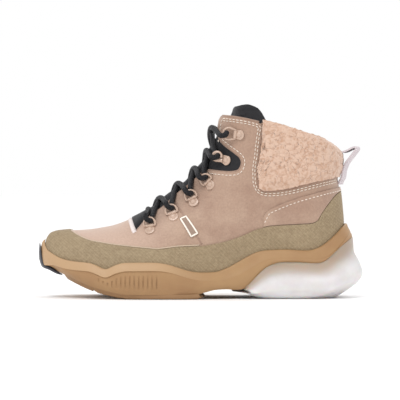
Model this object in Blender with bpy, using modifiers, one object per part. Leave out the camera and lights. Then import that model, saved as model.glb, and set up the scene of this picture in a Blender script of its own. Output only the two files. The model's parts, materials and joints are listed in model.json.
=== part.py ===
"""A lace-up ankle boot with a cup sole: the left boot, empty, standing on its sole.

The toe points to -X, the outer side of the foot to -Y and the collar to +Z. The floor is z = 0 and
the middle of the boot's length is x = 0. Lengths are in metres. Tables hold shares of the named size
that their comment gives, one row for each section of the boot, from the toe to the heel.
"""

import math

import bmesh
import bpy
from mathutils import Matrix, Vector

# Sole
LENGTH = 0.295              # nose of the sole to the back of the heel unit
SOLE_WIDTH = 0.105          # across the ball
LIP_HEIGHT = 0.044          # floor to the midsole's top edge beside the heel
LIP_THICKNESS = 0.0022      # wall of the cup round the upper
BAND_HEIGHT = 0.0074        # pale band under the lip
BAND_STEP = 0.0012          # depth of the step below the band
PAD_END = 0.51              # end of the tread pad, share of LENGTH
GROOVE_DEPTH = 0.0024       # between two lugs
GROOVE_WIDTH = 0.0036
LUG_PITCH = 0.0125
RIB_DEPTH = 0.0010          # upright ribs beside the ball
RIB_PITCH = 0.0038
RIB_GROOVE = 0.0013
RIB_COUNT = 14
RIB_START = 0.185           # share of LAST_LENGTH
RIB_MARGIN = 0.0040         # from the ribs' ends to the foam's edges
BUMPER_THICKNESS = 0.0020

# Last and upper
LAST_LENGTH = 0.266         # nose to heel of the upper
TOE_SET = 0.0081            # the upper's nose behind the sole's
BALL_WIDTH = 0.090
SHAFT_WIDTH = 0.071         # across the ankle
COLLAR_HEIGHT = 0.163       # floor to the leather's top edge in front
WALL = 0.0020
RAND_THICKNESS = 0.0011
COUNTER_THICKNESS = 0.0009
FLEECE_THICKNESS = 0.0034
INSOLE_THICKNESS = 0.0035
TONGUE_THICKNESS = 0.0038
TONGUE_LEAN = 0.0095        # how far its end stands back from the leather
TONGUE_FIT = 0.0012         # between the tongue and the bowed leather over it
PANEL_THICKNESS = 0.0010
PANEL_SINK = 0.0005         # the stretch panels lie this far under the leather
LABEL_THICKNESS = 0.0008
FIT = 0.0003                # gap between two pieces that touch

# Lacing
LACE_DIAMETER = 0.0042
LACE_CLEARANCE = 0.0005     # over the leather
LACE_OVER = 0.35            # how far the upper strand of a crossing lies out, share of the diameter
LACE_GAP = 0.0009           # from a slanting strand's end to its ring
RING_WIRE = 0.0019
RING_RADIUS = 0.0052
RING_LIFT = 0.0009          # a plate's back over the bowed leather
HOOK_LIFT = 0.0001          # the hook's plate lies on the sunk stretch panel
RING_TILT = 20.0            # degrees out of the leather
PLATE_RADIUS = 0.0042
PLATE_THICKNESS = 0.0011
HOOK_BEND = 0.0034          # radius of the open hook's turn
HOOK_FOOT = 0.0030          # where its wire leaves the plate, from the plate's middle

# Pull loop
TAPE_WIDTH = 0.014
TAPE_THICKNESS = 0.0017

NOSE_X = -LENGTH / 2
TOE_X = NOSE_X + TOE_SET
RAND_OUT = FIT + RAND_THICKNESS
CUP_OUT = RAND_OUT + 2 * FIT    # the cup's inner face, measured out from the upper

# Half widths of the foot, shares of BALL_WIDTH, against shares of LAST_LENGTH.
PLAN = (
    # along, lateral, medial
    (0.00, 0.400, 0.440),
    (0.10, 0.435, 0.480),
    (0.20, 0.480, 0.505),
    (0.30, 0.512, 0.498),
    (0.38, 0.515, 0.472),
    (0.50, 0.462, 0.405),
    (0.62, 0.405, 0.368),
    (0.75, 0.372, 0.360),
    (0.88, 0.366, 0.360),
    (1.00, 0.362, 0.358),
)
TOE_ROUND = 0.23            # length of the toe's rounding, share of LAST_LENGTH
HEEL_ROUND = 0.14
TOE_SWING = 0.055           # the toe leans to the medial side, share of BALL_WIDTH

# Ridge of the closed form over the foot, shares of COLLAR_HEIGHT. Behind the instep it climbs past the
# collar, so that the sections there are the two walls of the shaft.
RIDGE = (
    # along, height, fullness of the section
    (0.000, 0.288, 2.4),
    (0.007, 0.325, 2.4),
    (0.020, 0.350, 2.4),
    (0.047, 0.362, 2.4),
    (0.149, 0.375, 2.3),
    (0.217, 0.393, 2.2),
    (0.250, 0.410, 2.1),
    (0.284, 0.431, 2.0),
    (0.352, 0.489, 1.9),
    (0.420, 0.572, 1.9),
    (0.487, 0.657, 2.0),
    (0.521, 0.712, 2.0),
    (0.545, 0.762, 2.1),
    (0.562, 0.812, 2.1),
    (0.574, 0.867, 2.2),
    (0.585, 0.933, 2.2),
    (0.602, 1.012, 2.2),
    (0.625, 1.215, 2.2),
    (0.668, 1.960, 2.2),
    (0.717, 3.700, 2.2),
    (1.000, 9.200, 2.2),
)

# Back of the heel, shares of LAST_LENGTH against shares of COLLAR_HEIGHT.
HEEL_BACK = (
    # height, along
    (0.20, 0.972),
    (0.31, 0.996),
    (0.41, 1.003),
    (0.48, 1.000),
    (0.59, 0.993),
    (0.64, 0.988),
    (0.70, 0.986),
    (0.76, 0.988),
    (0.82, 0.982),
    (1.00, 0.960),
)

# Lines round the upper, shares of COLLAR_HEIGHT against shares of LAST_LENGTH.
THROAT_FRONT = 0.284        # the vamp's back edge on the ridge
EDGE = (
    # along, height of the throat's and collar's edge
    (0.284, 0.431),
    (0.289, 0.411),
    (0.294, 0.390),
    (0.299, 0.371),
    (0.303, 0.362),
    (0.318, 0.392),
    (0.352, 0.452),
    (0.396, 0.500),
    (0.437, 0.561),
    (0.484, 0.620),
    (0.521, 0.669),
    (0.545, 0.706),
    (0.562, 0.761),
    (0.575, 0.816),
    (0.587, 0.867),
    (0.596, 0.920),
    (0.606, 0.975),
    (0.619, 1.000),
    (0.657, 0.991),
    (0.731, 0.966),
    (0.758, 0.951),
    (0.826, 0.922),
    (0.893, 0.883),
    (0.944, 0.855),
    (0.978, 0.820),
    (1.000, 0.790),
)
CAP_END = 0.081             # the rand closes over the toe up to here
RAND_TOP = (
    # along, height
    (0.081, 0.368),
    (0.086, 0.360),
    (0.098, 0.349),
    (0.115, 0.334),
    (0.149, 0.313),
    (0.183, 0.302),
    (0.250, 0.287),
    (0.352, 0.272),
    (0.386, 0.269),
    (0.453, 0.282),
    (0.521, 0.287),
    (0.589, 0.305),
    (0.657, 0.340),
    (0.714, 0.381),
    (0.758, 0.396),
    (0.860, 0.406),
    (0.893, 0.410),
    (0.910, 0.423),
    (0.927, 0.464),
    (0.954, 0.519),
    (0.978, 0.561),
    (1.000, 0.585),
)
COUNTER_FRONT = 0.727
COUNTER_TOP = (
    # along, height
    (0.727, 0.430),
    (0.741, 0.470),
    (0.758, 0.490),
    (0.826, 0.535),
    (0.893, 0.568),
    (0.961, 0.595),
    (1.000, 0.608),
)
FLEECE_FRONT = 0.727
FLEECE_RISE = 0.011         # its pile stands above the leather's edge, share of COLLAR_HEIGHT
FLEECE_SIDE = (
    # along, height of its front edge, which leans back up to the collar
    (0.727, 0.740),
    (0.751, 0.894),
    (0.759, 0.980),
)
FLEECE_LOW = (
    # along, height
    (0.727, 0.603),
    (0.745, 0.590),
    (0.775, 0.592),
    (0.826, 0.605),
    (0.893, 0.630),
    (0.961, 0.654),
    (1.000, 0.664),
)
TONGUE_FRONT = 0.235
TONGUE_BACK = 0.772
TONGUE_LOW = (
    # along, height
    (0.235, 0.350),
    (0.284, 0.315),
    (0.318, 0.330),
    (0.352, 0.395),
    (0.420, 0.490),
    (0.487, 0.570),
    (0.545, 0.620),
    (0.602, 0.640),
    (0.668, 0.650),
    (0.772, 0.700),
)
TONGUE_TOP = (
    # along, height
    (0.235, 1.064),
    (0.700, 1.064),
    (0.740, 1.046),
    (0.760, 1.012),
    (0.772, 0.970),
)
TONGUE_LEAN_START = 0.80    # it leans back above this height, share of COLLAR_HEIGHT

# Sole lines, shares of LIP_HEIGHT against shares of LAST_LENGTH (floor, lip) and of LENGTH (the rest).
FLOOR = (
    # along, height of the cup's floor
    (0.00, 0.75),
    (0.05, 0.67),
    (0.12, 0.59),
    (0.20, 0.50),
    (0.30, 0.46),
    (0.42, 0.44),
    (0.55, 0.44),
    (0.62, 0.50),
    (0.69, 0.61),
    (0.76, 0.73),
    (0.83, 0.81),
    (0.90, 0.84),
    (1.00, 0.85),
)
LIP = (
    # along, height
    (0.000, 1.20),
    (0.004, 1.08),
    (0.013, 0.973),
    (0.027, 0.920),
    (0.060, 0.818),
    (0.087, 0.777),
    (0.120, 0.752),
    (0.167, 0.730),
    (0.194, 0.655),
    (0.214, 0.593),
    (0.234, 0.655),
    (0.254, 0.720),
    (0.287, 0.743),
    (0.387, 0.748),
    (0.421, 0.716),
    (0.454, 0.655),
    (0.487, 0.584),
    (0.521, 0.545),
    (0.554, 0.541),
    (0.587, 0.550),
    (0.621, 0.614),
    (0.654, 0.709),
    (0.688, 0.839),
    (0.721, 0.961),
    (0.754, 0.991),
    (0.821, 1.002),
    (0.888, 0.977),
    (0.921, 1.027),
    (0.938, 1.105),
    (0.955, 1.198),
    (0.971, 1.309),
    (0.988, 1.432),
    (1.000, 1.514),
)
GROUND = (
    # along, height of the tread
    (0.060, 0.460),
    (0.101, 0.347),
    (0.131, 0.260),
    (0.156, 0.190),
    (0.192, 0.112),
    (0.238, 0.041),
    (0.275, 0.000),
    (0.485, 0.000),
    (0.510, 0.041),
)
FOAM_BOTTOM = (
    # along, height of the midsole's lower edge
    (0.040, 0.640),
    (0.070, 0.530),
    (0.101, 0.443),
    (0.131, 0.356),
    (0.156, 0.286),
    (0.192, 0.208),
    (0.238, 0.137),
    (0.275, 0.0955),
    (0.485, 0.0955),
    (0.519, 0.150),
    (0.543, 0.189),
    (0.577, 0.198),
    (0.604, 0.189),
    (0.626, 0.195),
    (0.650, 0.327),
    (0.675, 0.511),
    (0.699, 0.659),
    (0.711, 0.690),
    (0.742, 0.748),
    (0.803, 0.736),
    (0.857, 0.716),
    (0.867, 0.730),
    (0.894, 0.880),
    (0.925, 1.064),
    (0.961, 1.239),
)
HEEL_GROUND = (
    # along, height of the heel unit's underside
    (0.640, 0.110),
    (0.655, 0.055),
    (0.672, 0.000),
    (0.900, 0.000),
    (0.940, 0.060),
    (1.000, 0.120),
)
CORE_INSET = 0.0045         # the midsole's underside steps up this far in from its side
HEEL_FLARE = 0.0025         # the heel's sides stand out this much more
CORE_LEAST = 0.0040         # foam under the cup's floor

LATERAL, MEDIAL = -1, 1


def smooth(table, at, column=1):
    """Read a table between its rows with a curve that never overshoots them."""
    xs = [row[0] for row in table]
    ys = [row[column] for row in table]
    if at <= xs[0]:
        return ys[0]
    if at >= xs[-1]:
        return ys[-1]
    k = max(i for i in range(len(xs) - 1) if xs[i] <= at)
    steps = [xs[i + 1] - xs[i] for i in range(len(xs) - 1)]
    slopes = [(ys[i + 1] - ys[i]) / steps[i] for i in range(len(steps))]

    def tangent(i):
        if i == 0 or i == len(xs) - 1:
            return slopes[min(i, len(slopes) - 1)]
        before, after = slopes[i - 1], slopes[i]
        if before * after <= 0:
            return 0.0
        return 2 * before * after / (before + after)

    t = (at - xs[k]) / steps[k]
    a, b = tangent(k) * steps[k], tangent(k + 1) * steps[k]
    return (ys[k] * (1 + 2 * t) * (1 - t) ** 2 + a * t * (1 - t) ** 2
            + ys[k + 1] * t * t * (3 - 2 * t) - b * t * t * (1 - t))


def ease(low, high, at):
    """0 below low, 1 above high, smooth between."""
    t = min(max((at - low) / (high - low), 0.0), 1.0)
    return t * t * (3 - 2 * t)


def round_ends(along):
    """1 in the middle of the foot, falling to 0 in a round at the toe and the heel."""
    toe = 1 - min(along / TOE_ROUND, 1.0)
    heel = 1 - min((1 - along) / HEEL_ROUND, 1.0)
    return math.sqrt(max(1 - toe ** 2.2, 0.0)) * math.sqrt(max(1 - heel ** 2.2, 0.0))


def swing(along):
    """How far the foot's middle line stands to the medial side."""
    return TOE_SWING * BALL_WIDTH * max(1 - along / 0.4, 0.0) ** 2


def floor_z(along):
    return smooth(FLOOR, along) * LIP_HEIGHT


def lip_z(along):
    return smooth(LIP, along) * LIP_HEIGHT


def ridge_z(along):
    return smooth(RIDGE, along) * COLLAR_HEIGHT


def line(table):
    """A line round the upper as a function of the share along it, in metres."""
    return lambda along: smooth(table, along) * COLLAR_HEIGHT


def angle_at(along, z):
    """Angle of a height in its section: 0 at the cup's floor, a right angle on the ridge."""
    share = (z - floor_z(along)) / (ridge_z(along) - floor_z(along))
    fullness = smooth(RIDGE, along, 2)
    return math.asin(min(max(share, 0.0), 1.0) ** (fullness / 2))


def skin_point(side, along, angle):
    """A point of the upper's outer face."""
    power = 2 / smooth(RIDGE, along, 2)
    low = floor_z(along)
    z = low + (ridge_z(along) - low) * math.sin(angle) ** power
    back = smooth(HEEL_BACK, z / COLLAR_HEIGHT)
    x = TOE_X + along * back * LAST_LENGTH
    foot = smooth(PLAN, along, 1 if side == LATERAL else 2) * BALL_WIDTH
    shaft = 0.5 * SHAFT_WIDTH
    width = foot + (shaft - foot) * ease(0.38, 0.72, z / COLLAR_HEIGHT)
    tuck = 1 - 0.05 * max(1 - (z - low) / 0.012, 0.0) ** 2
    y = side * width * tuck * round_ends(along) * max(math.cos(angle), 0.0) ** power
    return Vector((x, swing(along) + y, z))


def skin(side, along, angle, out=0.0):
    """A point of the upper's outer face, moved out along the surface's normal."""
    here = skin_point(side, along, angle)
    if not out:
        return here
    step = 0.004
    turn = math.acos(1 - 2 * min(max(along, 0.0), 1.0))

    def moved(turn_by, angle_by):
        there = turn + turn_by
        flip = side
        if there < 0 or there > math.pi:
            flip = -side
            there = -there if there < 0 else 2 * math.pi - there
        lift = angle + angle_by
        if lift > math.pi / 2:
            flip = -flip
            lift = math.pi - lift
        return skin_point(flip, (1 - math.cos(there)) / 2, max(lift, 0.0))

    across = moved(step, 0) - moved(-step, 0)
    up = moved(0, step) - moved(0, -step)
    normal = across.cross(up) * -side
    return here + normal.normalized() * out


def skin_at(side, along, z, out=0.0):
    return skin(side, along, angle_at(along, z), out)


def stations(first, last, keep=(), spacing=0.034):
    """Shares along the foot, closer together where the toe and heel turn, with the kept ones."""
    turn_first = math.acos(1 - 2 * first)
    turn_last = math.acos(1 - 2 * last)
    count = max(2, round((turn_last - turn_first) / (2 * spacing)))
    turns = [turn_first + (turn_last - turn_first) * i / count for i in range(count + 1)]
    shares = [(1 - math.cos(turn)) / 2 for turn in turns]
    near = 0.4 * spacing
    shares = [s for s in shares if s in (shares[0], shares[-1])
              or all(abs(s - k) > near * math.sqrt(max(s, 0.05)) for k in keep)]
    return sorted(set(shares) | {k for k in keep if first < k < last})


def collection(name):
    made = bpy.data.collections.new(name)
    bpy.context.scene.collection.children.link(made)
    return made


def paint(name, rgb, roughness, metallic=0.0, alpha=1.0):
    """A plain Principled material."""
    made = bpy.data.materials.new(name)
    made.use_nodes = True
    shader = made.node_tree.nodes["Principled BSDF"]
    shader.inputs["Base Color"].default_value = (*rgb, 1.0)
    shader.inputs["Roughness"].default_value = roughness
    shader.inputs["Metallic"].default_value = metallic
    shader.inputs["Alpha"].default_value = alpha
    return made


def add_object(name, mesh, material=None, where=None):
    made = bpy.data.objects.new(name, mesh)
    (where or PARTS).objects.link(made)
    if material and not mesh.materials:
        mesh.materials.append(material)
    return made


def split_quads(points, faces):
    """Cut each quad along its shorter diagonal, so that two pieces that mate have the same facets."""
    cut_faces = []
    for face in faces:
        if len(face) != 4:
            cut_faces.append(face)
            continue
        a, b, c, d = face
        if (points[a] - points[c]).length <= (points[b] - points[d]).length:
            cut_faces += [(a, b, c), (a, c, d)]
        else:
            cut_faces += [(a, b, d), (b, c, d)]
    return cut_faces


def mesh_from(name, points, faces):
    mesh = bpy.data.meshes.new(name)
    mesh.from_pydata([tuple(p) for p in points], [], split_quads(points, faces))
    shape = bmesh.new()
    shape.from_mesh(mesh)
    bmesh.ops.dissolve_degenerate(shape, dist=1e-6, edges=shape.edges)
    bmesh.ops.recalc_face_normals(shape, faces=shape.faces)
    shape.to_mesh(mesh)
    shape.free()
    mesh.shade_smooth()
    mesh.set_sharp_from_angle(angle=math.radians(40))
    return mesh


def sheet_mesh(name, columns, lines, rows, out):
    """An open sheet on the upper's form between lines round it, on both sides of the foot.

    There is one number of rows for each band between two lines. The halves share their points where
    they meet: on the ridge, at the nose and behind the heel.
    """
    points, faces, index = [], [], {}
    steps = [(band, row) for band, count in enumerate(rows) for row in range(count)]
    steps.append((len(rows) - 1, rows[-1]))

    def point(side, i, step):
        band, row = steps[step]
        along = columns[i]
        bottom, top = lines[band](along), lines[band + 1](along)
        if top - bottom < 1e-6:
            step -= row
        first, last = angle_at(along, bottom), angle_at(along, top)
        part = row / rows[band]
        angle = first + (last - first) * part
        seam = along in (0.0, 1.0) or angle > math.pi / 2 - 1e-4
        key = (0 if seam else side, i, step)
        if key not in index:
            index[key] = len(points)
            depth = out(along, bottom + (top - bottom) * part) if callable(out) else out
            points.append(skin(side, along, angle, depth))
        return index[key]

    for side in (LATERAL, MEDIAL):
        for i in range(len(columns) - 1):
            for step in range(len(steps) - 1):
                corners = [point(side, i, step), point(side, i + 1, step),
                           point(side, i + 1, step + 1), point(side, i, step + 1)]
                corners = list(dict.fromkeys(corners))
                if len(corners) > 2:
                    faces.append(corners if side == LATERAL else corners[::-1])
    mesh = bpy.data.meshes.new(name)
    mesh.from_pydata([tuple(p) for p in points], [], split_quads(points, faces))
    mesh.shade_smooth()
    return mesh


def thicken(thing, thickness, outwards):
    """Give an open sheet its wall."""
    wall = thing.modifiers.new("wall", "SOLIDIFY")
    wall.thickness = thickness
    wall.offset = 1.0 if outwards else -1.0
    wall.use_even_offset = True
    wall.use_quality_normals = True
    return thing


def ladder_solid(name, columns, rails, open_front=False):
    """A closed solid between rails that run round the foot, with flat rungs on its two faces.

    Each rail gives a point from a side and a share along. A rail list goes from the rim of the first
    face to the rim of the second.
    """
    points, faces, index = [], [], {}

    def point(side, i, k):
        seam = columns[i] in (0.0, 1.0)
        key = (0 if seam else side, i, k)
        if key not in index:
            index[key] = len(points)
            points.append(rails[k](side, columns[i]))
        return index[key]

    for i in range(len(columns) - 1):
        for k in range(len(rails) - 1):
            for side in (LATERAL, MEDIAL):
                corners = [point(side, i, k), point(side, i + 1, k),
                           point(side, i + 1, k + 1), point(side, i, k + 1)]
                faces.append(corners[::side])
        for k, turn in ((0, 1), (len(rails) - 1, -1)):
            corners = [point(LATERAL, i, k), point(MEDIAL, i, k),
                       point(MEDIAL, i + 1, k), point(LATERAL, i + 1, k)]
            corners = list(dict.fromkeys(corners))
            if len(corners) > 2:
                faces.append(corners[::turn])
    for i, open_end in ((0, open_front), (len(columns) - 1, columns[-1] != 1.0)):
        if open_end:
            ring = [point(LATERAL, i, k) for k in range(len(rails))]
            ring += [point(MEDIAL, i, k) for k in reversed(range(len(rails)))]
            faces.append(ring)
    return mesh_from(name, points, faces)


def sole_rail(front, back, flare, height):
    """A rail round the sole: its ends as shares of LENGTH, its flare in metres, its height."""
    def rail(side, along):
        share = front + (back - front) * along
        half = smooth(PLAN, along, 1 if side == LATERAL else 2) * SOLE_WIDTH
        spread = HEEL_FLARE * ease(0.55, 0.75, along)
        y = side * (half + flare + spread) * round_ends(along)
        return Vector((NOSE_X + share * LENGTH, swing(along) + y, height(along, share)))
    return rail


def foam_bottom(share):
    return smooth(FOAM_BOTTOM, share) * LIP_HEIGHT


def core_bottom(along, share):
    """The midsole's underside away from its side."""
    return min(foam_bottom(share), floor_z(along) - CORE_LEAST)


def band_low(along):
    """Lower edge of the pale band under the lip."""
    return lip_z(along) - BAND_HEIGHT - 0.012 * (1 - ease(0.0, 0.05, along))


def band_step(along):
    """The step below the band fades out towards the waist."""
    return BAND_STEP * (1 - ease(0.38, 0.46, along))


def wall_z(share_up):
    """A height between the band and the midsole's lower edge."""
    def height(along, share):
        low = foam_bottom(share)
        return low + (band_low(along) - low) * share_up
    return height


FOAM_FRONT, FOAM_BACK = 0.040, 0.962
HEEL_START = 0.651          # share along the foam's lower edge where the heel unit begins


def cup_floor(side, along):
    point = skin(side, along, 0.0, CUP_OUT)
    point.z = floor_z(along) - 2 * FIT
    return point


def cup_wall(share_up):
    """A rail up the cup's inner wall, from its floor to the lip."""
    def at(side, along):
        z = floor_z(along) + (lip_z(along) - floor_z(along)) * share_up
        point = skin_at(side, along, z, CUP_OUT)
        point.z = z
        return point
    return at


def lip_outer(side, along):
    """The lip's outer edge; the lip thins to under half round the nose, where the bumper stands."""
    thin = 1 - 0.55 * (1 - ease(0.0, 0.08, along))
    point = skin_at(side, along, lip_z(along), CUP_OUT + LIP_THICKNESS * thin)
    point.z = lip_z(along) - 0.0004
    return point


foam_edge = sole_rail(FOAM_FRONT, FOAM_BACK, -0.0022, lambda along, share: foam_bottom(share))
CORE_FRONT, CORE_BACK = 0.060, 0.9417
foam_core = sole_rail(CORE_FRONT, CORE_BACK, -CORE_INSET, core_bottom)
FOAM_WALL = [
    sole_rail(0.0100, 0.9480, -0.0026, lambda along, share: lip_z(along) - 0.0030),
    sole_rail(0.0079, 0.9567, -0.0006, lambda along, share: band_low(along)),
    lambda side, along: sole_rail(0.0085, 0.9560, -0.0006 - band_step(along),
                                  lambda at, share: band_low(at) - 0.0005)(side, along),
    sole_rail(0.0150, 0.9600, 0.0, wall_z(0.62)),
    sole_rail(0.0260, 0.9613, -0.0003, wall_z(0.25)),
    foam_edge,
]


def box_cutters(name, boxes):
    """Boxes in one mesh, each given by its middle, size and turn about Z."""
    shape = bmesh.new()
    for middle, size, turn in boxes:
        place = Matrix.Translation(middle) @ Matrix.Rotation(turn, 4, "Z") @ Matrix.Diagonal((*size, 1))
        bmesh.ops.create_cube(shape, size=1.0, matrix=place)
    mesh = bpy.data.meshes.new(name)
    shape.to_mesh(mesh)
    shape.free()
    cutter = add_object(name, mesh, where=CUTTERS)
    cutter.hide_render = True
    cutter.display_type = "WIRE"
    return cutter


def cut(thing, cutter, operation="DIFFERENCE"):
    made = thing.modifiers.new(cutter.name, "BOOLEAN")
    made.operation = operation
    made.object = cutter


def rib_boxes():
    """Grooves between the upright ribs on both sides of the ball."""
    boxes = []
    wall = FOAM_WALL[3]
    for side in (LATERAL, MEDIAL):
        for n in range(RIB_COUNT):
            along = RIB_START + n * RIB_PITCH / LAST_LENGTH
            here, ahead = wall(side, along), wall(side, along + 0.004)
            low = foam_bottom((here.x - NOSE_X) / LENGTH) + RIB_MARGIN
            high = band_low(along) - RIB_MARGIN
            turn = math.atan2(ahead.y - here.y, ahead.x - here.x)
            middle = (here.x, here.y, (low + high) / 2)
            boxes.append((middle, (RIB_GROOVE, 2 * RIB_DEPTH, high - low), turn))
    return boxes


def ground_z(share):
    return smooth(GROUND, share) * LIP_HEIGHT


def lug_boxes(first, last, ground, reach):
    """Grooves across the tread from below; reach is the share of the tread's width that they cross."""
    boxes = []
    deep = 0.010
    count = round((last - first) * LENGTH / LUG_PITCH)
    for n in range(count):
        share = first + (n + 0.5) * (last - first) / count
        x = NOSE_X + share * LENGTH
        top = ground(share) + GROOVE_DEPTH
        wide = 2 * smooth(PLAN, share) * SOLE_WIDTH * reach
        boxes.append(((x, swing(share), top - deep / 2), (GROOVE_WIDTH, wide, deep), 0.0))
    return boxes


def make_sole():
    columns = foot_columns()
    rails = [cup_floor, cup_wall(0.3), cup_wall(0.65), cup_wall(1.0), lip_outer, *FOAM_WALL, foam_core]
    foam = add_object("midsole", ladder_solid("midsole", columns, rails),
                      paint("foam_tan", (0.45, 0.27, 0.14), 0.6))
    cut(foam, box_cutters("rib_cutters", rib_boxes()))
    make_bumper(columns)
    make_outsole()
    make_heel_unit([c for c in columns if c >= HEEL_START])


BUMPER_RAILS = (
    # share of the bumper's width, share of its thickness, from its top edge down and under the nose
    (0.15, 0.30),
    (0.35, 0.60),
    (0.75, 0.90),
    (1.00, 1.00),
    (1.00, 0.90),
    (1.00, 0.50),
)


def bumper_mesh(near):
    """A pad round the nose, a fit away from the foam, thin at its edges and narrower at its top."""
    rails = FOAM_WALL[:2] + FOAM_WALL[3:] + [foam_core]
    wide = 2 * len(near) - 1
    points, faces = [], []
    for rail, (width, _) in zip(rails, BUMPER_RAILS):
        points += [rail(LATERAL, c * width) for c in reversed(near)] + [rail(MEDIAL, c * width) for c in near[1:]]
    for k in range(len(rails) - 1):
        for i in range(wide - 1):
            a = k * wide + i
            faces.append((a, a + wide, a + wide + 1, a + 1))
    guide = bmesh.new()
    spots = [guide.verts.new(p) for p in points]
    for face in faces:
        guide.faces.new([spots[v] for v in face])
    guide.normal_update()
    way = -1 if sum(v.normal.x for v in spots) > 0 else 1
    inner = [v.co + v.normal * way * 4.5 * FIT for v in spots]
    outer = [p + v.normal * way * BUMPER_THICKNESS * BUMPER_RAILS[n // wide][1]
             for n, (p, v) in enumerate(zip(inner, spots))]
    guide.free()
    count = len(points)
    rim = list(range(wide)) + [k * wide + wide - 1 for k in range(1, len(rails))]
    rim += [(len(rails) - 1) * wide + i for i in range(wide - 2, -1, -1)]
    rim += [k * wide for k in range(len(rails) - 2, 0, -1)]
    closed = list(faces) + [tuple(v + count for v in face[::-1]) for face in faces]
    closed += [(a, b, b + count, a + count) for a, b in zip(rim, rim[1:] + rim[:1])]
    return inner + outer, closed


def make_bumper(columns):
    points, faces = bumper_mesh([c for c in columns if c < 0.02])
    add_object("toe_bumper", mesh_from("toe_bumper", points, faces),
               paint("rubber_black", (0.02, 0.02, 0.025), 0.55))


def make_outsole():
    front, back = 0.084, 0.962
    last = (PAD_END - front) / (back - front)
    columns = stations(0.0, last, spacing=0.06)
    rails = [
        sole_rail(front, 0.930, -CORE_INSET, lambda along, share: foam_bottom(share) - 2 * FIT),
        sole_rail(front - 0.008, back, -0.0026, lambda along, share: foam_bottom(share) - 2 * FIT),
        sole_rail(front + 0.002, back, -0.0024, lambda along, share: ground_z(share) + 0.0014),
        sole_rail(front + 0.008, back, -0.0040, lambda along, share: ground_z(share)),
    ]
    pad = add_object("outsole_forefoot", ladder_solid("outsole_forefoot", columns, rails),
                     paint("rubber_tan", (0.42, 0.25, 0.12), 0.7))
    boxes = lug_boxes(0.16, 0.49, ground_z, 0.72)
    cut(pad, box_cutters("forefoot_grooves", boxes))


def heel_ground(share):
    return smooth(HEEL_GROUND, share) * LIP_HEIGHT


def heel_z(share_up):
    """A height between the heel unit's underside and its top edge."""
    def height(along, share):
        low = heel_ground(share)
        edge = FOAM_FRONT + (FOAM_BACK - FOAM_FRONT) * along
        return low + (foam_bottom(edge) - FIT - low) * share_up
    return height


def outside(rail):
    """The rail of a mating piece, below the foam and round it."""
    def at(side, along):
        point = rail(side, along)
        out = Vector((ease(0.9, 1.0, along), side * (1 - ease(0.97, 1.0, along)), -1.0))
        return point + out * FIT
    return at


def make_heel_unit(columns):
    rails = [
        outside(foam_core),
        outside(foam_edge),
        sole_rail(FOAM_FRONT, 0.966, -0.0004, heel_z(0.90)),
        sole_rail(FOAM_FRONT, 0.967, 0.0006, heel_z(0.73)),
        sole_rail(FOAM_FRONT, 0.972, -0.0006, heel_z(0.69)),
        sole_rail(FOAM_FRONT, 1.000, 0.0026, heel_z(0.38)),
        sole_rail(FOAM_FRONT, 0.990, 0.0020, heel_z(0.22)),
        sole_rail(FOAM_FRONT, 0.950, -0.0008, heel_z(0.07)),
        sole_rail(FOAM_FRONT, 0.912, -0.0050, heel_z(0.0)),
    ]
    heel = add_object("heel_unit", ladder_solid("heel_unit", columns, rails, open_front=True),
                      paint("clear_frosted", (0.85, 0.83, 0.82), 0.35))
    cut(heel, box_cutters("heel_grooves", lug_boxes(0.70, 0.88, heel_ground, 0.60)))


def make_insole():
    columns = stations(0.0, 1.0, spacing=0.06)

    def rail(lift):
        def at(side, along):
            point = skin_at(side, along, floor_z(along) + max(lift, 0.0), -(WALL + 5 * FIT))
            point.z = floor_z(along) + lift
            return point
        return at

    add_object("insole", ladder_solid("insole", columns, [rail(-FIT), rail(INSOLE_THICKNESS)]),
               paint("footbed", (0.62, 0.5, 0.4), 0.9))


def prism(name, outline, reach):
    """A side outline, given as shares along and up, drawn out across the boot."""
    shape = bmesh.new()
    ring = [shape.verts.new((x, -reach, z)) for x, z in outline]
    face = shape.faces.new(ring)
    drawn = bmesh.ops.extrude_face_region(shape, geom=[face])
    moved = [item for item in drawn["geom"] if isinstance(item, bmesh.types.BMVert)]
    bmesh.ops.translate(shape, verts=moved, vec=(0, 2 * reach, 0))
    bmesh.ops.recalc_face_normals(shape, faces=shape.faces)
    mesh = bpy.data.meshes.new(name)
    shape.to_mesh(mesh)
    shape.free()
    cutter = add_object(name, mesh, where=CUTTERS)
    cutter.hide_render = True
    cutter.display_type = "WIRE"
    return cutter


NOTCH = (
    # along, height: shares of LAST_LENGTH and COLLAR_HEIGHT, from the throat round and back
    (0.500, 0.712),
    (0.545, 0.704),
    (0.606, 0.693),
    (0.640, 0.696),
    (0.653, 0.709),
    (0.660, 0.740),
    (0.655, 0.770),
    (0.640, 0.792),
    (0.606, 0.834),
    (0.589, 0.861),
    (0.560, 0.900),
)


def notch_outline(inset):
    """The notch seen from the side, each corner moved in by the inset."""
    ring = [Vector((TOE_X + a * LAST_LENGTH, h * COLLAR_HEIGHT)) for a, h in NOTCH]
    moved = []
    for n, here in enumerate(ring):
        before = (here - ring[n - 1]).normalized()
        after = (ring[(n + 1) % len(ring)] - here).normalized()
        inward = Vector((-before.y - after.y, before.x + after.x)).normalized()
        moved.append(here + inward * inset)
    return [tuple(p) for p in moved]


EDGE_KEEP = (0.284, 0.289, 0.294, 0.299, 0.303, 0.318, 0.545, 0.562, 0.575, 0.587, 0.596, 0.606, 0.619)
RAND_KEEP = (0.081, 0.086, 0.098, 0.115, 0.910, 0.927)
LIP_KEEP = (0.194, 0.214, 0.234, HEEL_START)
TONGUE_KEEP = (0.6085,)     # where the ridge passes the tongue's end


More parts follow.
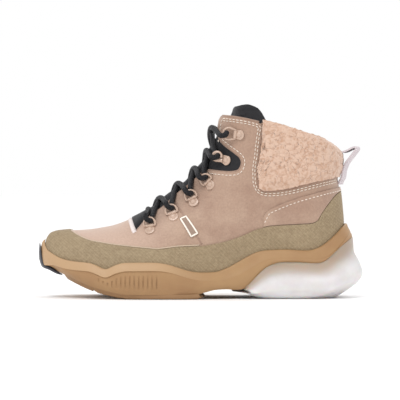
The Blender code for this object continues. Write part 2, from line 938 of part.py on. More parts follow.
def foot_columns(first=0.0, last=1.0):
    """The sections that every piece on the upper shares."""
    kept = EDGE_KEEP + RAND_KEEP + LIP_KEEP + TONGUE_KEEP + (COUNTER_FRONT, FLEECE_FRONT, FLEECE_SIDE[-1][0])
    shared = stations(0.0, 1.0, keep=kept, spacing=0.062)
    inside = [c for c in shared if first < c < last]
    return [first] + inside + [last]


def edge_z(along):
    """The upper's top edge: the ridge over the vamp, then the throat and the collar."""
    return ridge_z(along) if along <= THROAT_FRONT else smooth(EDGE, along) * COLLAR_HEIGHT


def rand_z(along):
    return ridge_z(along) if along <= CAP_END else smooth(RAND_TOP, along) * COLLAR_HEIGHT


def make_upper():
    mesh = sheet_mesh("upper", foot_columns(), (floor_z, rand_z, edge_z), (3, 5), 0.0)
    upper = add_object("upper", mesh, paint("leather_taupe", (0.52, 0.36, 0.28), 0.6))
    thicken(upper, WALL, False)
    cut(upper, prism("notch_cutter", notch_outline(0.0), 0.08))


def make_rand():
    mesh = sheet_mesh("rand", foot_columns(), (floor_z, rand_z), (3,), FIT)
    rand = add_object("rand", mesh, paint("rand_khaki", (0.36, 0.30, 0.20), 0.8))
    thicken(rand, RAND_THICKNESS, True)


def make_counter():
    def low(along):
        return rand_z(along) + 2 * FIT

    mesh = sheet_mesh("heel_counter", foot_columns(COUNTER_FRONT + 0.004), (low, line(COUNTER_TOP)), (2,), FIT)
    counter = add_object("heel_counter", mesh, bpy.data.materials["leather_taupe"])
    thicken(counter, COUNTER_THICKNESS, True)


def make_fleece():
    def high(along):
        return min(edge_z(along) / COLLAR_HEIGHT + FLEECE_RISE, smooth(FLEECE_SIDE, along)) * COLLAR_HEIGHT

    mesh = sheet_mesh("collar_fleece", foot_columns(FLEECE_FRONT), (line(FLEECE_LOW), high), (4,), FIT)
    fleece = add_object("collar_fleece", mesh, paint("fleece_cream", (0.72, 0.52, 0.38), 0.95))
    thicken(fleece, FLEECE_THICKNESS, True)


def make_panels():
    """Stretch panels fill the notches, a fit away from the cut leather."""
    def low(along):
        return 0.66 * COLLAR_HEIGHT

    def high(along):
        return min(smooth(EDGE, along), 0.90) * COLLAR_HEIGHT - FIT

    black = paint("stretch_black", (0.02, 0.02, 0.025), 0.8)
    cutter = prism("panel_outline", notch_outline(1.5 * FIT), 0.08)
    columns = foot_columns(0.545, 0.67)
    for name, side in (("flex_panel_lateral", LATERAL), ("flex_panel_medial", MEDIAL)):
        mesh = sheet_mesh(name, columns, (low, high), (4,), -PANEL_SINK)
        keep_side(mesh, side)
        panel = add_object(name, mesh, black)
        thicken(panel, PANEL_THICKNESS, False)
        cut(panel, cutter, "INTERSECT")


def keep_side(mesh, side):
    """Leave the half of a mesh that lies on one side of the boot."""
    shape = bmesh.new()
    shape.from_mesh(mesh)
    other = [v for v in shape.verts if v.co.y * side < 0]
    bmesh.ops.delete(shape, geom=other, context="VERTS")
    shape.to_mesh(mesh)
    shape.free()


def make_tongue():
    def depth(along, z):
        lean = ease(TONGUE_LEAN_START, 1.02, z / COLLAR_HEIGHT)
        return -(WALL + TONGUE_FIT) - TONGUE_LEAN * lean

    def high(along):
        return min(smooth(TONGUE_TOP, along) * COLLAR_HEIGHT, ridge_z(along))

    columns = foot_columns(TONGUE_FRONT, TONGUE_BACK)
    mesh = sheet_mesh("tongue", columns, (line(TONGUE_LOW), high), (5,), depth)
    tongue = add_object("tongue", mesh, paint("tongue_black", (0.025, 0.025, 0.03), 0.85))
    thicken(tongue, TONGUE_THICKNESS, False)


def make_label():
    """A small tab on the lateral side, its corners as shares along and up."""
    corners = ((0.452, 0.436), (0.474, 0.453), (0.516, 0.356), (0.491, 0.334))
    across, down = 2, 4
    points, faces = [], []
    for j in range(down + 1):
        for i in range(across + 1):
            u, v = i / across, j / down
            spot = [(1 - v) * ((1 - u) * a + u * b) + v * ((1 - u) * d + u * c)
                    for a, b, c, d in zip(*corners)]
            points.append(skin_at(LATERAL, spot[0], spot[1] * COLLAR_HEIGHT, FIT))
    for j in range(down):
        for i in range(across):
            a = j * (across + 1) + i
            faces.append((a, a + across + 1, a + across + 2, a + 1))
    mesh = bpy.data.meshes.new("side_label")
    mesh.from_pydata([tuple(p) for p in points], [], faces)
    label = add_object("side_label", mesh, paint("label_cream", (0.8, 0.7, 0.6), 0.6))
    thicken(label, LABEL_THICKNESS, True)


RINGS = (
    # name, along, height, degrees that it points forward of straight up
    ("dring_1", 0.3536, 0.3755, -2.0),
    ("dring_2", 0.4315, 0.4470, 16.0),
    ("dring_3", 0.5008, 0.5273, 22.0),
    ("dring_4", 0.5618, 0.6210, 32.0),
    ("hook_5", 0.6159, 0.7560, 63.0),
    ("dring_6", 0.6582, 0.8970, 82.0),
)


def ring_frame(side, along, height, lean, lift):
    """Where a ring sits: X across, Y towards the throat, Z out of the leather."""
    z = height * COLLAR_HEIGHT
    here = skin_at(side, along, z, lift)
    out = (skin_at(side, along, z, lift + 0.001) - here).normalized()
    turn = math.radians(lean)
    step = 0.004
    ahead = skin_at(side, along - math.sin(turn) * step / LAST_LENGTH, z + math.cos(turn) * step, lift)
    up = ahead - here
    up = (up - out * up.dot(out)).normalized()
    across = up.cross(out)
    frame = Matrix((across, up, out)).transposed().to_4x4()
    return Matrix.Translation(here) @ frame


def torus_mesh(name, major, minor, place):
    bpy.ops.mesh.primitive_torus_add(major_segments=8, minor_segments=4, major_radius=major,
                                     minor_radius=minor)
    ring = bpy.context.object
    mesh = ring.data
    mesh.name = name
    bpy.data.objects.remove(ring)
    mesh.transform(place)
    return mesh


RING_FOOT = PLATE_THICKNESS + 0.3 * RING_WIRE    # the wire ring starts this far out of the plate's back


def ring_mesh():
    """A D-ring unit: a riveted plate with a wire ring that stands out of it."""
    shape = bmesh.new()
    plate = Matrix.Translation((0, 0, PLATE_THICKNESS / 2))
    bmesh.ops.create_cone(shape, cap_ends=True, segments=8, radius1=PLATE_RADIUS, radius2=PLATE_RADIUS * 0.9,
                          depth=PLATE_THICKNESS, matrix=plate)
    mesh = bpy.data.meshes.new("ring_plate")
    shape.to_mesh(mesh)
    shape.free()
    tilt = Matrix.Translation((0, 0, RING_FOOT)) @ Matrix.Rotation(math.radians(RING_TILT), 4, "X")
    place = tilt @ Matrix.Translation((0, RING_RADIUS, 0))
    wire = add_object("ring_wire", torus_mesh("ring_wire", RING_RADIUS, RING_WIRE / 2, place), where=CUTTERS)
    return joined("ring_unit", mesh, wire)


def joined(name, mesh, other):
    """The mesh of two solids made one; the helper objects are removed."""
    base = add_object(name, mesh, where=CUTTERS)
    cut(base, other, "UNION")
    base.hide_render = other.hide_render = True
    graph = bpy.context.evaluated_depsgraph_get()
    made = bpy.data.meshes.new_from_object(base.evaluated_get(graph))
    made.name = name
    bpy.data.objects.remove(base)
    bpy.data.objects.remove(other)
    return made


def tube(name, points, radius, sides=1):
    """A round wire through the points, as a closed mesh."""
    curve = bpy.data.curves.new(name, "CURVE")
    curve.dimensions = "3D"
    spline = curve.splines.new("POLY")
    spline.points.add(len(points) - 1)
    for spot, point in zip(spline.points, points):
        spot.co = (*point, 1.0)
    curve.bevel_depth = radius
    curve.bevel_resolution = sides
    curve.use_fill_caps = True
    wire = add_object(name, curve, where=CUTTERS)
    graph = bpy.context.evaluated_depsgraph_get()
    mesh = bpy.data.meshes.new_from_object(wire.evaluated_get(graph))
    bpy.data.objects.remove(wire)
    shape = bmesh.new()
    shape.from_mesh(mesh)
    bmesh.ops.remove_doubles(shape, verts=shape.verts, dist=1e-5)
    bmesh.ops.recalc_face_normals(shape, faces=shape.faces)
    shape.to_mesh(mesh)
    shape.free()
    return mesh


def hook_mesh():
    """An open hook: the same plate, with a wire that rises, turns over and comes back."""
    shape = bmesh.new()
    plate = Matrix.Translation((0, 0, PLATE_THICKNESS / 2))
    bmesh.ops.create_cone(shape, cap_ends=True, segments=8, radius1=PLATE_RADIUS, radius2=PLATE_RADIUS * 0.9,
                          depth=PLATE_THICKNESS, matrix=plate)
    mesh = bpy.data.meshes.new("hook_plate")
    shape.to_mesh(mesh)
    shape.free()
    foot = Vector((0, HOOK_FOOT, PLATE_THICKNESS - FIT))
    middle = Vector((0, foot.y + 1.3 * HOOK_BEND, PLATE_THICKNESS + 1.2 * HOOK_BEND))
    points = [foot]
    for step in range(9):
        turn = math.radians(-60 + 250 * step / 8)
        points.append(middle + Vector((0, math.sin(turn), -math.cos(turn))) * HOOK_BEND)
    wire = add_object("hook_wire", tube("hook_wire", points, RING_WIRE / 2), where=CUTTERS)
    return joined("hook_unit", mesh, wire)


def make_rings():
    metal = paint("painted_taupe", (0.45, 0.32, 0.25), 0.45)
    meshes = {"dring": ring_mesh(), "hook": hook_mesh()}
    for mesh in meshes.values():
        mesh.materials.clear()
        mesh.materials.append(metal)
    for side, word in ((LATERAL, "lateral"), (MEDIAL, "medial")):
        for name, along, height, lean in RINGS:
            kind = name.split("_")[0]
            lift = RING_LIFT if kind == "dring" else HOOK_LIFT
            ring = add_object(f"{name}_{word}", meshes[kind])
            ring.matrix_world = ring_frame(side, along, height, lean, lift)


def lace_end(ring, side, aside):
    """Where a lace ends beside the far end of a ring: its point, share along and angle.

    Two strands leave each ring side by side, one before and one behind its middle.
    """
    name, along, height, lean = ring
    tilt = math.radians(RING_TILT)
    far = HOOK_FOOT + 2.3 * HOOK_BEND if name.startswith("hook") else 2 * RING_RADIUS * math.cos(tilt)
    reach = far + RING_WIRE / 2 + LACE_GAP
    shift = aside * (LACE_DIAMETER + FIT) / 2
    place = ring_frame(side, along, height, lean, RING_LIFT)
    point = place @ Vector((-side * shift, reach, RING_FOOT + 2 * RING_RADIUS * math.sin(tilt)))
    turn = math.radians(lean)
    there = along + (math.cos(turn) * shift - math.sin(turn) * reach) / LAST_LENGTH
    z = height * COLLAR_HEIGHT + math.cos(turn) * reach + math.sin(turn) * shift
    return point, there, angle_at(there, z)


def over_tongue(side, low_ring, high_ring, aside=1, lift=0.0):
    """Points of a lace from one side's ring over the ridge to a ring of the other side."""
    first, first_share, first_angle = lace_end(low_ring, side, aside)
    last, last_share, last_angle = lace_end(high_ring, -side, -1)
    out = LACE_DIAMETER / 2 + LACE_CLEARANCE + lift
    rise, fall = math.pi / 2 - first_angle, math.pi / 2 - last_angle

    def on_skin(turned):
        """A point of the path on the form, by the angle gone through on the way."""
        share = first_share + (last_share - first_share) * turned / (rise + fall)
        if turned < rise:
            return skin(side, share, first_angle + turned, out)
        return skin(-side, share, math.pi / 2 - (turned - rise), out)

    points = []
    for n in range(9):
        part = n / 4 - 1
        turned = rise + part * (rise if part < 0 else fall)
        end, start_turn = (first, 0.0) if part < 0 else (last, rise + fall)
        points.append(on_skin(turned) + (end - on_skin(start_turn)) * part * part)
    return points


def make_laces():
    black = paint("lace_black", (0.015, 0.015, 0.018), 0.75)
    radius = LACE_DIAMETER / 2
    add_object("lace_bar_1", tube("lace_bar_1", over_tongue(LATERAL, RINGS[0], RINGS[0], -1), radius), black)
    for n in range(1, len(RINGS)):
        low, high = RINGS[n - 1], RINGS[n]
        first = tube("strand", over_tongue(LATERAL, low, high), radius)
        over = over_tongue(MEDIAL, low, high, lift=LACE_OVER * LACE_DIAMETER)
        second = add_object("strand_over", tube("strand_over", over, radius), where=CUTTERS)
        name = f"lace_cross_{n}"
        mesh = joined(name, first, second)
        add_object(name, mesh, black)


def make_pull_loop():
    """A webbing loop behind the collar, seen edge on from the side."""
    route = (
        # along as share of LAST_LENGTH, height as share of COLLAR_HEIGHT
        (0.9955, 0.622),
        (0.9990, 0.640),
        (1.0060, 0.660),
        (1.0100, 0.700),
        (1.0200, 0.740),
        (1.0360, 0.775),
        (1.0490, 0.803),
        (1.0540, 0.817),
        (1.0500, 0.827),
        (1.0410, 0.823),
        (1.0280, 0.812),
        (1.0150, 0.803),
        (1.0070, 0.800),
    )
    points, faces = [], []
    for along, height in route:
        x, z = TOE_X + along * LAST_LENGTH, height * COLLAR_HEIGHT
        points += [(x, -TAPE_WIDTH / 2, z), (x, TAPE_WIDTH / 2, z)]
    for n in range(len(route) - 1):
        faces.append((2 * n, 2 * n + 1, 2 * n + 3, 2 * n + 2))
    mesh = bpy.data.meshes.new("pull_loop")
    mesh.from_pydata(points, [], faces)
    loop = add_object("pull_loop", mesh, paint("webbing_pale", (0.6, 0.52, 0.54), 0.85))
    wall = thicken(loop, TAPE_THICKNESS, True).modifiers["wall"]
    wall.offset = 0.0


def clear_scene():
    for thing in list(bpy.data.objects):
        bpy.data.objects.remove(thing, do_unlink=True)


clear_scene()
PARTS = collection("lace_up_boot")
CUTTERS = collection("cutters")
CUTTERS.hide_render = True
make_sole()
make_insole()
make_upper()
make_rand()
make_counter()
make_fleece()
make_panels()
make_tongue()
make_label()
make_rings()
make_laces()
make_pull_loop()
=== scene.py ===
# %% [markdown]
# A lace-up ankle boot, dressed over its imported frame. The toe points to -X, the outer side of the
# foot to -Y and the collar to +Z, in metres. Every form comes from a few tables of shares and one
# function for the upper's skin, so a seam, a stitch and a panel all follow the same last.

import json
import math

import bmesh
import bpy
from mathutils import Matrix, Vector, noise

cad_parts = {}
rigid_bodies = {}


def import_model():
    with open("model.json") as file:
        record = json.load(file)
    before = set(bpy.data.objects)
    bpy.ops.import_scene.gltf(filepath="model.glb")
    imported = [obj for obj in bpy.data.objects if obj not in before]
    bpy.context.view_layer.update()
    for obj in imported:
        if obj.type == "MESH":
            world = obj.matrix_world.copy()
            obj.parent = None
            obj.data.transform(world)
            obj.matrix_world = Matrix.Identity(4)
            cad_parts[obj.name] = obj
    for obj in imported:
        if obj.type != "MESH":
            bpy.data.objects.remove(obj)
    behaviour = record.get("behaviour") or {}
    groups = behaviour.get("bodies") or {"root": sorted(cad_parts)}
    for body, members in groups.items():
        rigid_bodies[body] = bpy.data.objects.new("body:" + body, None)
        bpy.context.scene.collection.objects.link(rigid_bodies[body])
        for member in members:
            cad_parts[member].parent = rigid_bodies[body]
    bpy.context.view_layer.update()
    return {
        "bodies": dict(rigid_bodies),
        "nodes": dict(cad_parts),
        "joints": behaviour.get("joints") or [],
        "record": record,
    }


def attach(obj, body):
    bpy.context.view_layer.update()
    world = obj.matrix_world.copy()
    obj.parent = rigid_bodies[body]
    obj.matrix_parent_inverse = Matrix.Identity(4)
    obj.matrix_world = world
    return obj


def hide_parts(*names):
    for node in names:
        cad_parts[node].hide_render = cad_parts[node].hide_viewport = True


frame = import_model()

# %% [markdown]
# The sizes of the boot. Tables hold shares of the named size that their comment gives, one row for
# each section, from the toe to the heel.

# %% Sizes and tables
# Sole
LENGTH = 0.295              # nose of the sole to the back of the heel unit
SOLE_WIDTH = 0.105          # across the ball
LIP_HEIGHT = 0.044          # floor to the midsole's top edge beside the heel
LIP_THICKNESS = 0.0022      # wall of the cup round the upper
# the band's paler tone in front is a painted highlight, set in the foam's material
BAND_HEIGHT = 0.0074        # pale band under the lip
BAND_STEP = 0.0012          # depth of the step below the band
PAD_END = 0.51              # end of the tread pad, share of LENGTH
GROOVE_DEPTH = 0.0024       # between two lugs
GROOVE_WIDTH = 0.0036
LUG_PITCH = 0.0125
RIB_DEPTH = 0.0010          # upright ribs beside the ball
RIB_PITCH = 0.0038
RIB_GROOVE = 0.0013
RIB_COUNT = 14
RIB_START = 0.185           # share of LAST_LENGTH
RIB_MARGIN = 0.0040         # from the ribs' ends to the foam's edges
BUMPER_THICKNESS = 0.0030

# Last and upper
LAST_LENGTH = 0.266         # nose to heel of the upper
TOE_SET = 0.0081            # the upper's nose behind the sole's
BALL_WIDTH = 0.090
SHAFT_WIDTH = 0.071         # across the ankle
COLLAR_HEIGHT = 0.163       # floor to the leather's top edge in front
WALL = 0.0020
RAND_THICKNESS = 0.0011
COUNTER_THICKNESS = 0.0009
FLEECE_THICKNESS = 0.0034
INSOLE_THICKNESS = 0.0035
TONGUE_THICKNESS = 0.0038
TONGUE_LEAN = 0.0095        # how far its end stands back from the leather
TONGUE_FIT = 0.0012         # between the tongue and the bowed leather over it
PANEL_THICKNESS = 0.0010
PANEL_SINK = 0.0005         # the stretch panels lie this far under the leather
LABEL_THICKNESS = 0.0008
FIT = 0.0003                # gap between two pieces that touch

# Lacing
LACE_DIAMETER = 0.0042
LACE_CLEARANCE = 0.0005     # over the leather
LACE_OVER = 0.35            # how far the upper strand of a crossing lies out, share of the diameter
LACE_GAP = 0.0009           # from a slanting strand's end to its ring
RING_WIRE = 0.0019
RING_RADIUS = 0.0052
RING_LIFT = 0.0009          # a plate's back over the bowed leather
HOOK_LIFT = 0.0001          # the hook's plate lies on the sunk stretch panel
RING_TILT = 20.0            # degrees out of the leather
PLATE_RADIUS = 0.0042
PLATE_THICKNESS = 0.0011
HOOK_BEND = 0.0034          # radius of the open hook's turn
HOOK_FOOT = 0.0030          # where its wire leaves the plate, from the plate's middle

# Pull loop
TAPE_WIDTH = 0.014
TAPE_THICKNESS = 0.0017

NOSE_X = -LENGTH / 2
TOE_X = NOSE_X + TOE_SET
RAND_OUT = FIT + RAND_THICKNESS
CUP_OUT = RAND_OUT + 2 * FIT    # the cup's inner face, measured out from the upper

# Half widths of the foot, shares of BALL_WIDTH, against shares of LAST_LENGTH.
PLAN = (
    # along, lateral, medial
    (0.00, 0.400, 0.440),
    (0.10, 0.435, 0.480),
    (0.20, 0.480, 0.505),
    (0.30, 0.512, 0.498),
    (0.38, 0.515, 0.472),
    (0.50, 0.462, 0.405),
    (0.62, 0.405, 0.368),
    (0.75, 0.372, 0.360),
    (0.88, 0.366, 0.360),
    (1.00, 0.362, 0.358),
)
TOE_ROUND = 0.23            # length of the toe's rounding, share of LAST_LENGTH
HEEL_ROUND = 0.14
TOE_SWING = 0.055           # the toe leans to the medial side, share of BALL_WIDTH

# Ridge of the closed form over the foot, shares of COLLAR_HEIGHT. Behind the instep it climbs past the
# collar, so that the sections there are the two walls of the shaft.
RIDGE = (
    # along, height, fullness of the section
    (0.000, 0.288, 2.4),
    (0.007, 0.325, 2.4),
    (0.020, 0.350, 2.4),
    (0.047, 0.362, 2.4),
    (0.149, 0.375, 2.3),
    (0.217, 0.393, 2.2),
    (0.250, 0.410, 2.1),
    (0.284, 0.431, 2.0),
    (0.352, 0.489, 1.9),
    (0.420, 0.572, 1.9),
    (0.487, 0.657, 2.0),
    (0.521, 0.712, 2.0),
    (0.545, 0.762, 2.1),
    (0.562, 0.812, 2.1),
    (0.574, 0.867, 2.2),
    (0.585, 0.933, 2.2),
    (0.602, 1.012, 2.2),
    (0.625, 1.215, 2.2),
    (0.668, 1.960, 2.2),
    (0.717, 3.700, 2.2),
    (1.000, 9.200, 2.2),
)

# Back of the heel, shares of LAST_LENGTH against shares of COLLAR_HEIGHT.
HEEL_BACK = (
    # height, along
    (0.20, 0.972),
    (0.31, 0.996),
    (0.41, 1.003),
    (0.48, 1.000),
    (0.59, 0.993),
    (0.64, 0.988),
    (0.70, 0.986),
    (0.76, 0.988),
    (0.82, 0.982),
    (1.00, 0.960),
)

# Lines round the upper, shares of COLLAR_HEIGHT against shares of LAST_LENGTH.
THROAT_FRONT = 0.284        # the vamp's back edge on the ridge
EDGE = (
    # along, height of the throat's and collar's edge
    (0.284, 0.431),
    (0.289, 0.411),
    (0.294, 0.390),
    (0.299, 0.371),
    (0.303, 0.362),
    (0.318, 0.392),
    (0.352, 0.452),
    (0.396, 0.500),
    (0.437, 0.561),
    (0.484, 0.620),
    (0.521, 0.669),
    (0.545, 0.706),
    (0.562, 0.761),
    (0.575, 0.816),
    (0.587, 0.867),
    (0.596, 0.920),
    (0.606, 0.975),
    (0.619, 1.000),
    (0.657, 0.991),
    (0.731, 0.966),
    (0.758, 0.951),
    (0.826, 0.922),
    (0.893, 0.883),
    (0.944, 0.855),
    (0.978, 0.820),
    (1.000, 0.790),
)
CAP_END = 0.081             # the rand closes over the toe up to here
RAND_TOP = (
    # along, height
    (0.081, 0.368),
    (0.086, 0.360),
    (0.098, 0.349),
    (0.115, 0.334),
    (0.149, 0.313),
    (0.183, 0.302),
    (0.250, 0.287),
    (0.352, 0.272),
    (0.386, 0.269),
    (0.453, 0.282),
    (0.521, 0.287),
    (0.589, 0.305),
    (0.657, 0.340),
    (0.714, 0.381),
    (0.758, 0.396),
    (0.860, 0.406),
    (0.893, 0.410),
    (0.910, 0.423),
    (0.927, 0.464),
    (0.954, 0.519),
    (0.978, 0.561),
    (1.000, 0.585),
)
COUNTER_FRONT = 0.727
COUNTER_TOP = (
    # along, height
    (0.727, 0.430),
    (0.741, 0.470),
    (0.758, 0.490),
    (0.826, 0.535),
    (0.893, 0.568),
    (0.961, 0.595),
    (1.000, 0.608),
)
FLEECE_FRONT = 0.727
FLEECE_RISE = 0.026         # its pile stands above the leather's edge, share of COLLAR_HEIGHT
FLEECE_SIDE = (
    # along, height of its front edge, which leans back up to the collar
    (0.727, 0.740),
    (0.751, 0.894),
    (0.759, 0.980),
)
FLEECE_LOW = (
    # along, height
    (0.727, 0.603),
    (0.745, 0.590),
    (0.775, 0.592),
    (0.826, 0.605),
    (0.893, 0.630),
    (0.961, 0.654),
    (1.000, 0.664),
)
TONGUE_FRONT = 0.235
TONGUE_BACK = 0.772
TONGUE_LOW = (
    # along, height
    (0.235, 0.350),
    (0.284, 0.315),
    (0.318, 0.330),
    (0.352, 0.395),
    (0.420, 0.490),
    (0.487, 0.570),
    (0.545, 0.620),
    (0.602, 0.640),
    (0.668, 0.650),
    (0.772, 0.700),
)
TONGUE_TOP = (
    # along, height
    (0.235, 1.064),
    (0.700, 1.064),
    (0.740, 1.046),
    (0.760, 1.012),
    (0.772, 0.970),
)
TONGUE_LEAN_START = 0.80    # it leans back above this height, share of COLLAR_HEIGHT

# Sole lines, shares of LIP_HEIGHT against shares of LAST_LENGTH (floor, lip) and of LENGTH (the rest).
FLOOR = (
    # along, height of the cup's floor
    (0.00, 0.75),
    (0.05, 0.67),
    (0.12, 0.59),
    (0.20, 0.50),
    (0.30, 0.46),
    (0.42, 0.44),
    (0.55, 0.44),
    (0.62, 0.50),
    (0.69, 0.61),
    (0.76, 0.73),
    (0.83, 0.81),
    (0.90, 0.84),
    (1.00, 0.85),
)
LIP = (
    # along, height
    (0.000, 1.20),
    (0.004, 1.08),
    (0.013, 0.973),
    (0.027, 0.920),
    (0.060, 0.818),
    (0.087, 0.777),
    (0.120, 0.752),
    (0.167, 0.730),
    (0.194, 0.655),
    (0.214, 0.593),
    (0.234, 0.655),
    (0.254, 0.720),
    (0.287, 0.743),
    (0.387, 0.748),
    (0.421, 0.716),
    (0.454, 0.655),
    (0.487, 0.584),
    (0.521, 0.545),
    (0.554, 0.541),
    (0.587, 0.550),
    (0.621, 0.614),
    (0.654, 0.709),
    (0.688, 0.839),
    (0.721, 0.961),
    (0.754, 0.991),
    (0.821, 1.002),
    (0.888, 0.977),
    (0.921, 1.027),
    (0.938, 1.105),
    (0.955, 1.198),
    (0.971, 1.309),
    (0.988, 1.432),
    (1.000, 1.514),
)
GROUND = (
    # along, height of the tread
    (0.060, 0.460),
    (0.101, 0.347),
    (0.131, 0.260),
    (0.156, 0.190),
    (0.192, 0.112),
    (0.238, 0.041),
    (0.275, 0.000),
    (0.485, 0.000),
    (0.510, 0.041),
)
FOAM_BOTTOM = (
    # along, height of the midsole's lower edge
    (0.040, 0.640),
    (0.070, 0.530),
    (0.101, 0.443),
    (0.131, 0.356),
    (0.156, 0.286),
    (0.192, 0.208),
    (0.238, 0.137),
    (0.275, 0.0955),
    (0.485, 0.0955),
    (0.519, 0.150),
    (0.543, 0.189),
    (0.577, 0.198),
    (0.604, 0.189),
    (0.626, 0.195),
    (0.650, 0.327),
    (0.675, 0.511),
    (0.699, 0.659),
    (0.711, 0.690),
    (0.742, 0.748),
    (0.803, 0.736),
    (0.857, 0.716),
    (0.867, 0.730),
    (0.894, 0.880),
    (0.925, 1.064),
    (0.961, 1.239),
)
HEEL_GROUND = (
    # along, height of the heel unit's underside
    (0.622, 0.150),
    (0.650, 0.075),
    (0.687, 0.008),
    (0.700, 0.000),
    (0.900, 0.000),
    (0.940, 0.060),
    (1.000, 0.120),
)
CORE_INSET = 0.0045         # the midsole's underside steps up this far in from its side
HEEL_FLARE = 0.0025         # the heel's sides stand out this much more
CORE_LEAST = 0.0040         # foam under the cup's floor


LATERAL, MEDIAL = -1, 1


def smooth(table, at, column=1):
    """Read a table between its rows with a curve that never overshoots them."""
    xs = [row[0] for row in table]
    ys = [row[column] for row in table]
    if at <= xs[0]:
        return ys[0]
    if at >= xs[-1]:
        return ys[-1]
    k = max(i for i in range(len(xs) - 1) if xs[i] <= at)
    steps = [xs[i + 1] - xs[i] for i in range(len(xs) - 1)]
    slopes = [(ys[i + 1] - ys[i]) / steps[i] for i in range(len(steps))]

    def tangent(i):
        if i == 0 or i == len(xs) - 1:
            return slopes[min(i, len(slopes) - 1)]
        before, after = slopes[i - 1], slopes[i]
        if before * after <= 0:
            return 0.0
        return 2 * before * after / (before + after)

    t = (at - xs[k]) / steps[k]
    a, b = tangent(k) * steps[k], tangent(k + 1) * steps[k]
    return (ys[k] * (1 + 2 * t) * (1 - t) ** 2 + a * t * (1 - t) ** 2
            + ys[k + 1] * t * t * (3 - 2 * t) - b * t * t * (1 - t))


def ease(low, high, at):
    """0 below low, 1 above high, smooth between."""
    t = min(max((at - low) / (high - low), 0.0), 1.0)
    return t * t * (3 - 2 * t)


def round_ends(along):
    """1 in the middle of the foot, falling to 0 in a round at the toe and the heel."""
    toe = 1 - min(along / TOE_ROUND, 1.0)
    heel = 1 - min((1 - along) / HEEL_ROUND, 1.0)
    return math.sqrt(max(1 - toe ** 2.2, 0.0)) * math.sqrt(max(1 - heel ** 2.2, 0.0))


def swing(along):
    """How far the foot's middle line stands to the medial side."""
    return TOE_SWING * BALL_WIDTH * max(1 - along / 0.4, 0.0) ** 2


def floor_z(along):
    return smooth(FLOOR, along) * LIP_HEIGHT


def lip_z(along):
    return smooth(LIP, along) * LIP_HEIGHT


def ridge_z(along):
    return smooth(RIDGE, along) * COLLAR_HEIGHT


def line(table):
    """A line round the upper as a function of the share along it, in metres."""
    return lambda along: smooth(table, along) * COLLAR_HEIGHT


def angle_at(along, z):
    """Angle of a height in its section: 0 at the cup's floor, a right angle on the ridge."""
    share = (z - floor_z(along)) / (ridge_z(along) - floor_z(along))
    fullness = smooth(RIDGE, along, 2)
    return math.asin(min(max(share, 0.0), 1.0) ** (fullness / 2))


def skin_point(side, along, angle):
    """A point of the upper's outer face."""
    power = 2 / smooth(RIDGE, along, 2)
    low = floor_z(along)
    z = low + (ridge_z(along) - low) * math.sin(angle) ** power
    back = smooth(HEEL_BACK, z / COLLAR_HEIGHT)
    x = TOE_X + along * back * LAST_LENGTH
    foot = smooth(PLAN, along, 1 if side == LATERAL else 2) * BALL_WIDTH
    shaft = 0.5 * SHAFT_WIDTH
    width = foot + (shaft - foot) * ease(0.38, 0.72, z / COLLAR_HEIGHT)
    tuck = 1 - 0.05 * max(1 - (z - low) / 0.012, 0.0) ** 2
    y = side * width * tuck * round_ends(along) * max(math.cos(angle), 0.0) ** power
    return Vector((x, swing(along) + y, z))


def skin(side, along, angle, out=0.0):
    """A point of the upper's outer face, moved out along the surface's normal."""
    here = skin_point(side, along, angle)
    if not out:
        return here
    step = 0.004
    turn = math.acos(1 - 2 * min(max(along, 0.0), 1.0))

    def moved(turn_by, angle_by):
        there = turn + turn_by
        flip = side
        if there < 0 or there > math.pi:
            flip = -side
            there = -there if there < 0 else 2 * math.pi - there
        lift = angle + angle_by
        if lift > math.pi / 2:
            flip = -flip
            lift = math.pi - lift
        return skin_point(flip, (1 - math.cos(there)) / 2, max(lift, 0.0))

    across = moved(step, 0) - moved(-step, 0)
    up = moved(0, step) - moved(0, -step)
    normal = across.cross(up) * -side
    return here + normal.normalized() * out


def skin_at(side, along, z, out=0.0):
    return skin(side, along, angle_at(along, z), out)


def stations(first, last, keep=(), spacing=0.034):
    """Shares along the foot, closer together where the toe and heel turn, with the kept ones."""
    turn_first = math.acos(1 - 2 * first)
    turn_last = math.acos(1 - 2 * last)
    count = max(2, round((turn_last - turn_first) / (2 * spacing)))
    turns = [turn_first + (turn_last - turn_first) * i / count for i in range(count + 1)]
    shares = [(1 - math.cos(turn)) / 2 for turn in turns]
    near = 0.4 * spacing
    shares = [s for s in shares if s in (shares[0], shares[-1])
              or all(abs(s - k) > near * math.sqrt(max(s, 0.05)) for k in keep)]
    return sorted(set(shares) | {k for k in keep if first < k < last})


def sole_rail(front, back, flare, height):
    """A rail round the sole: its ends as shares of LENGTH, its flare in metres, its height."""
    def rail(side, along):
        share = front + (back - front) * along
        half = smooth(PLAN, along, 1 if side == LATERAL else 2) * SOLE_WIDTH
        spread = HEEL_FLARE * ease(0.55, 0.75, along)
        y = side * (half + flare + spread) * round_ends(along)
        return Vector((NOSE_X + share * LENGTH, swing(along) + y, height(along, share)))
    return rail


def foam_bottom(share):
    return smooth(FOAM_BOTTOM, share) * LIP_HEIGHT


def core_bottom(along, share):
    """The midsole's underside away from its side."""
    return min(foam_bottom(share), floor_z(along) - CORE_LEAST)


def band_low(along):
    """Lower edge of the band under the lip, which is painted paler in front as a highlight; round the nose it
    stays over the foam's own edge.
    """
    low = lip_z(along) - BAND_HEIGHT - 0.012 * (1 - ease(0.0, 0.05, along))
    return max(low, foam_bottom(0.008 + 0.949 * along) + 0.0012)


def band_step(along):
    """The step below the band fades out towards the waist."""
    return BAND_STEP * (1 - ease(0.38, 0.46, along))


def wall_z(share_up):
    """A height between the band and the midsole's lower edge."""
    def height(along, share):
        low = foam_bottom(share)
        return low + (band_low(along) - low) * share_up
    return height


FOAM_FRONT, FOAM_BACK = 0.040, 0.962
HEEL_START = 0.634          # share along the foam's lower edge where the heel unit begins


def cup_floor(side, along):
    point = skin(side, along, 0.0, CUP_OUT)
    point.z = floor_z(along) - 2 * FIT
    return point


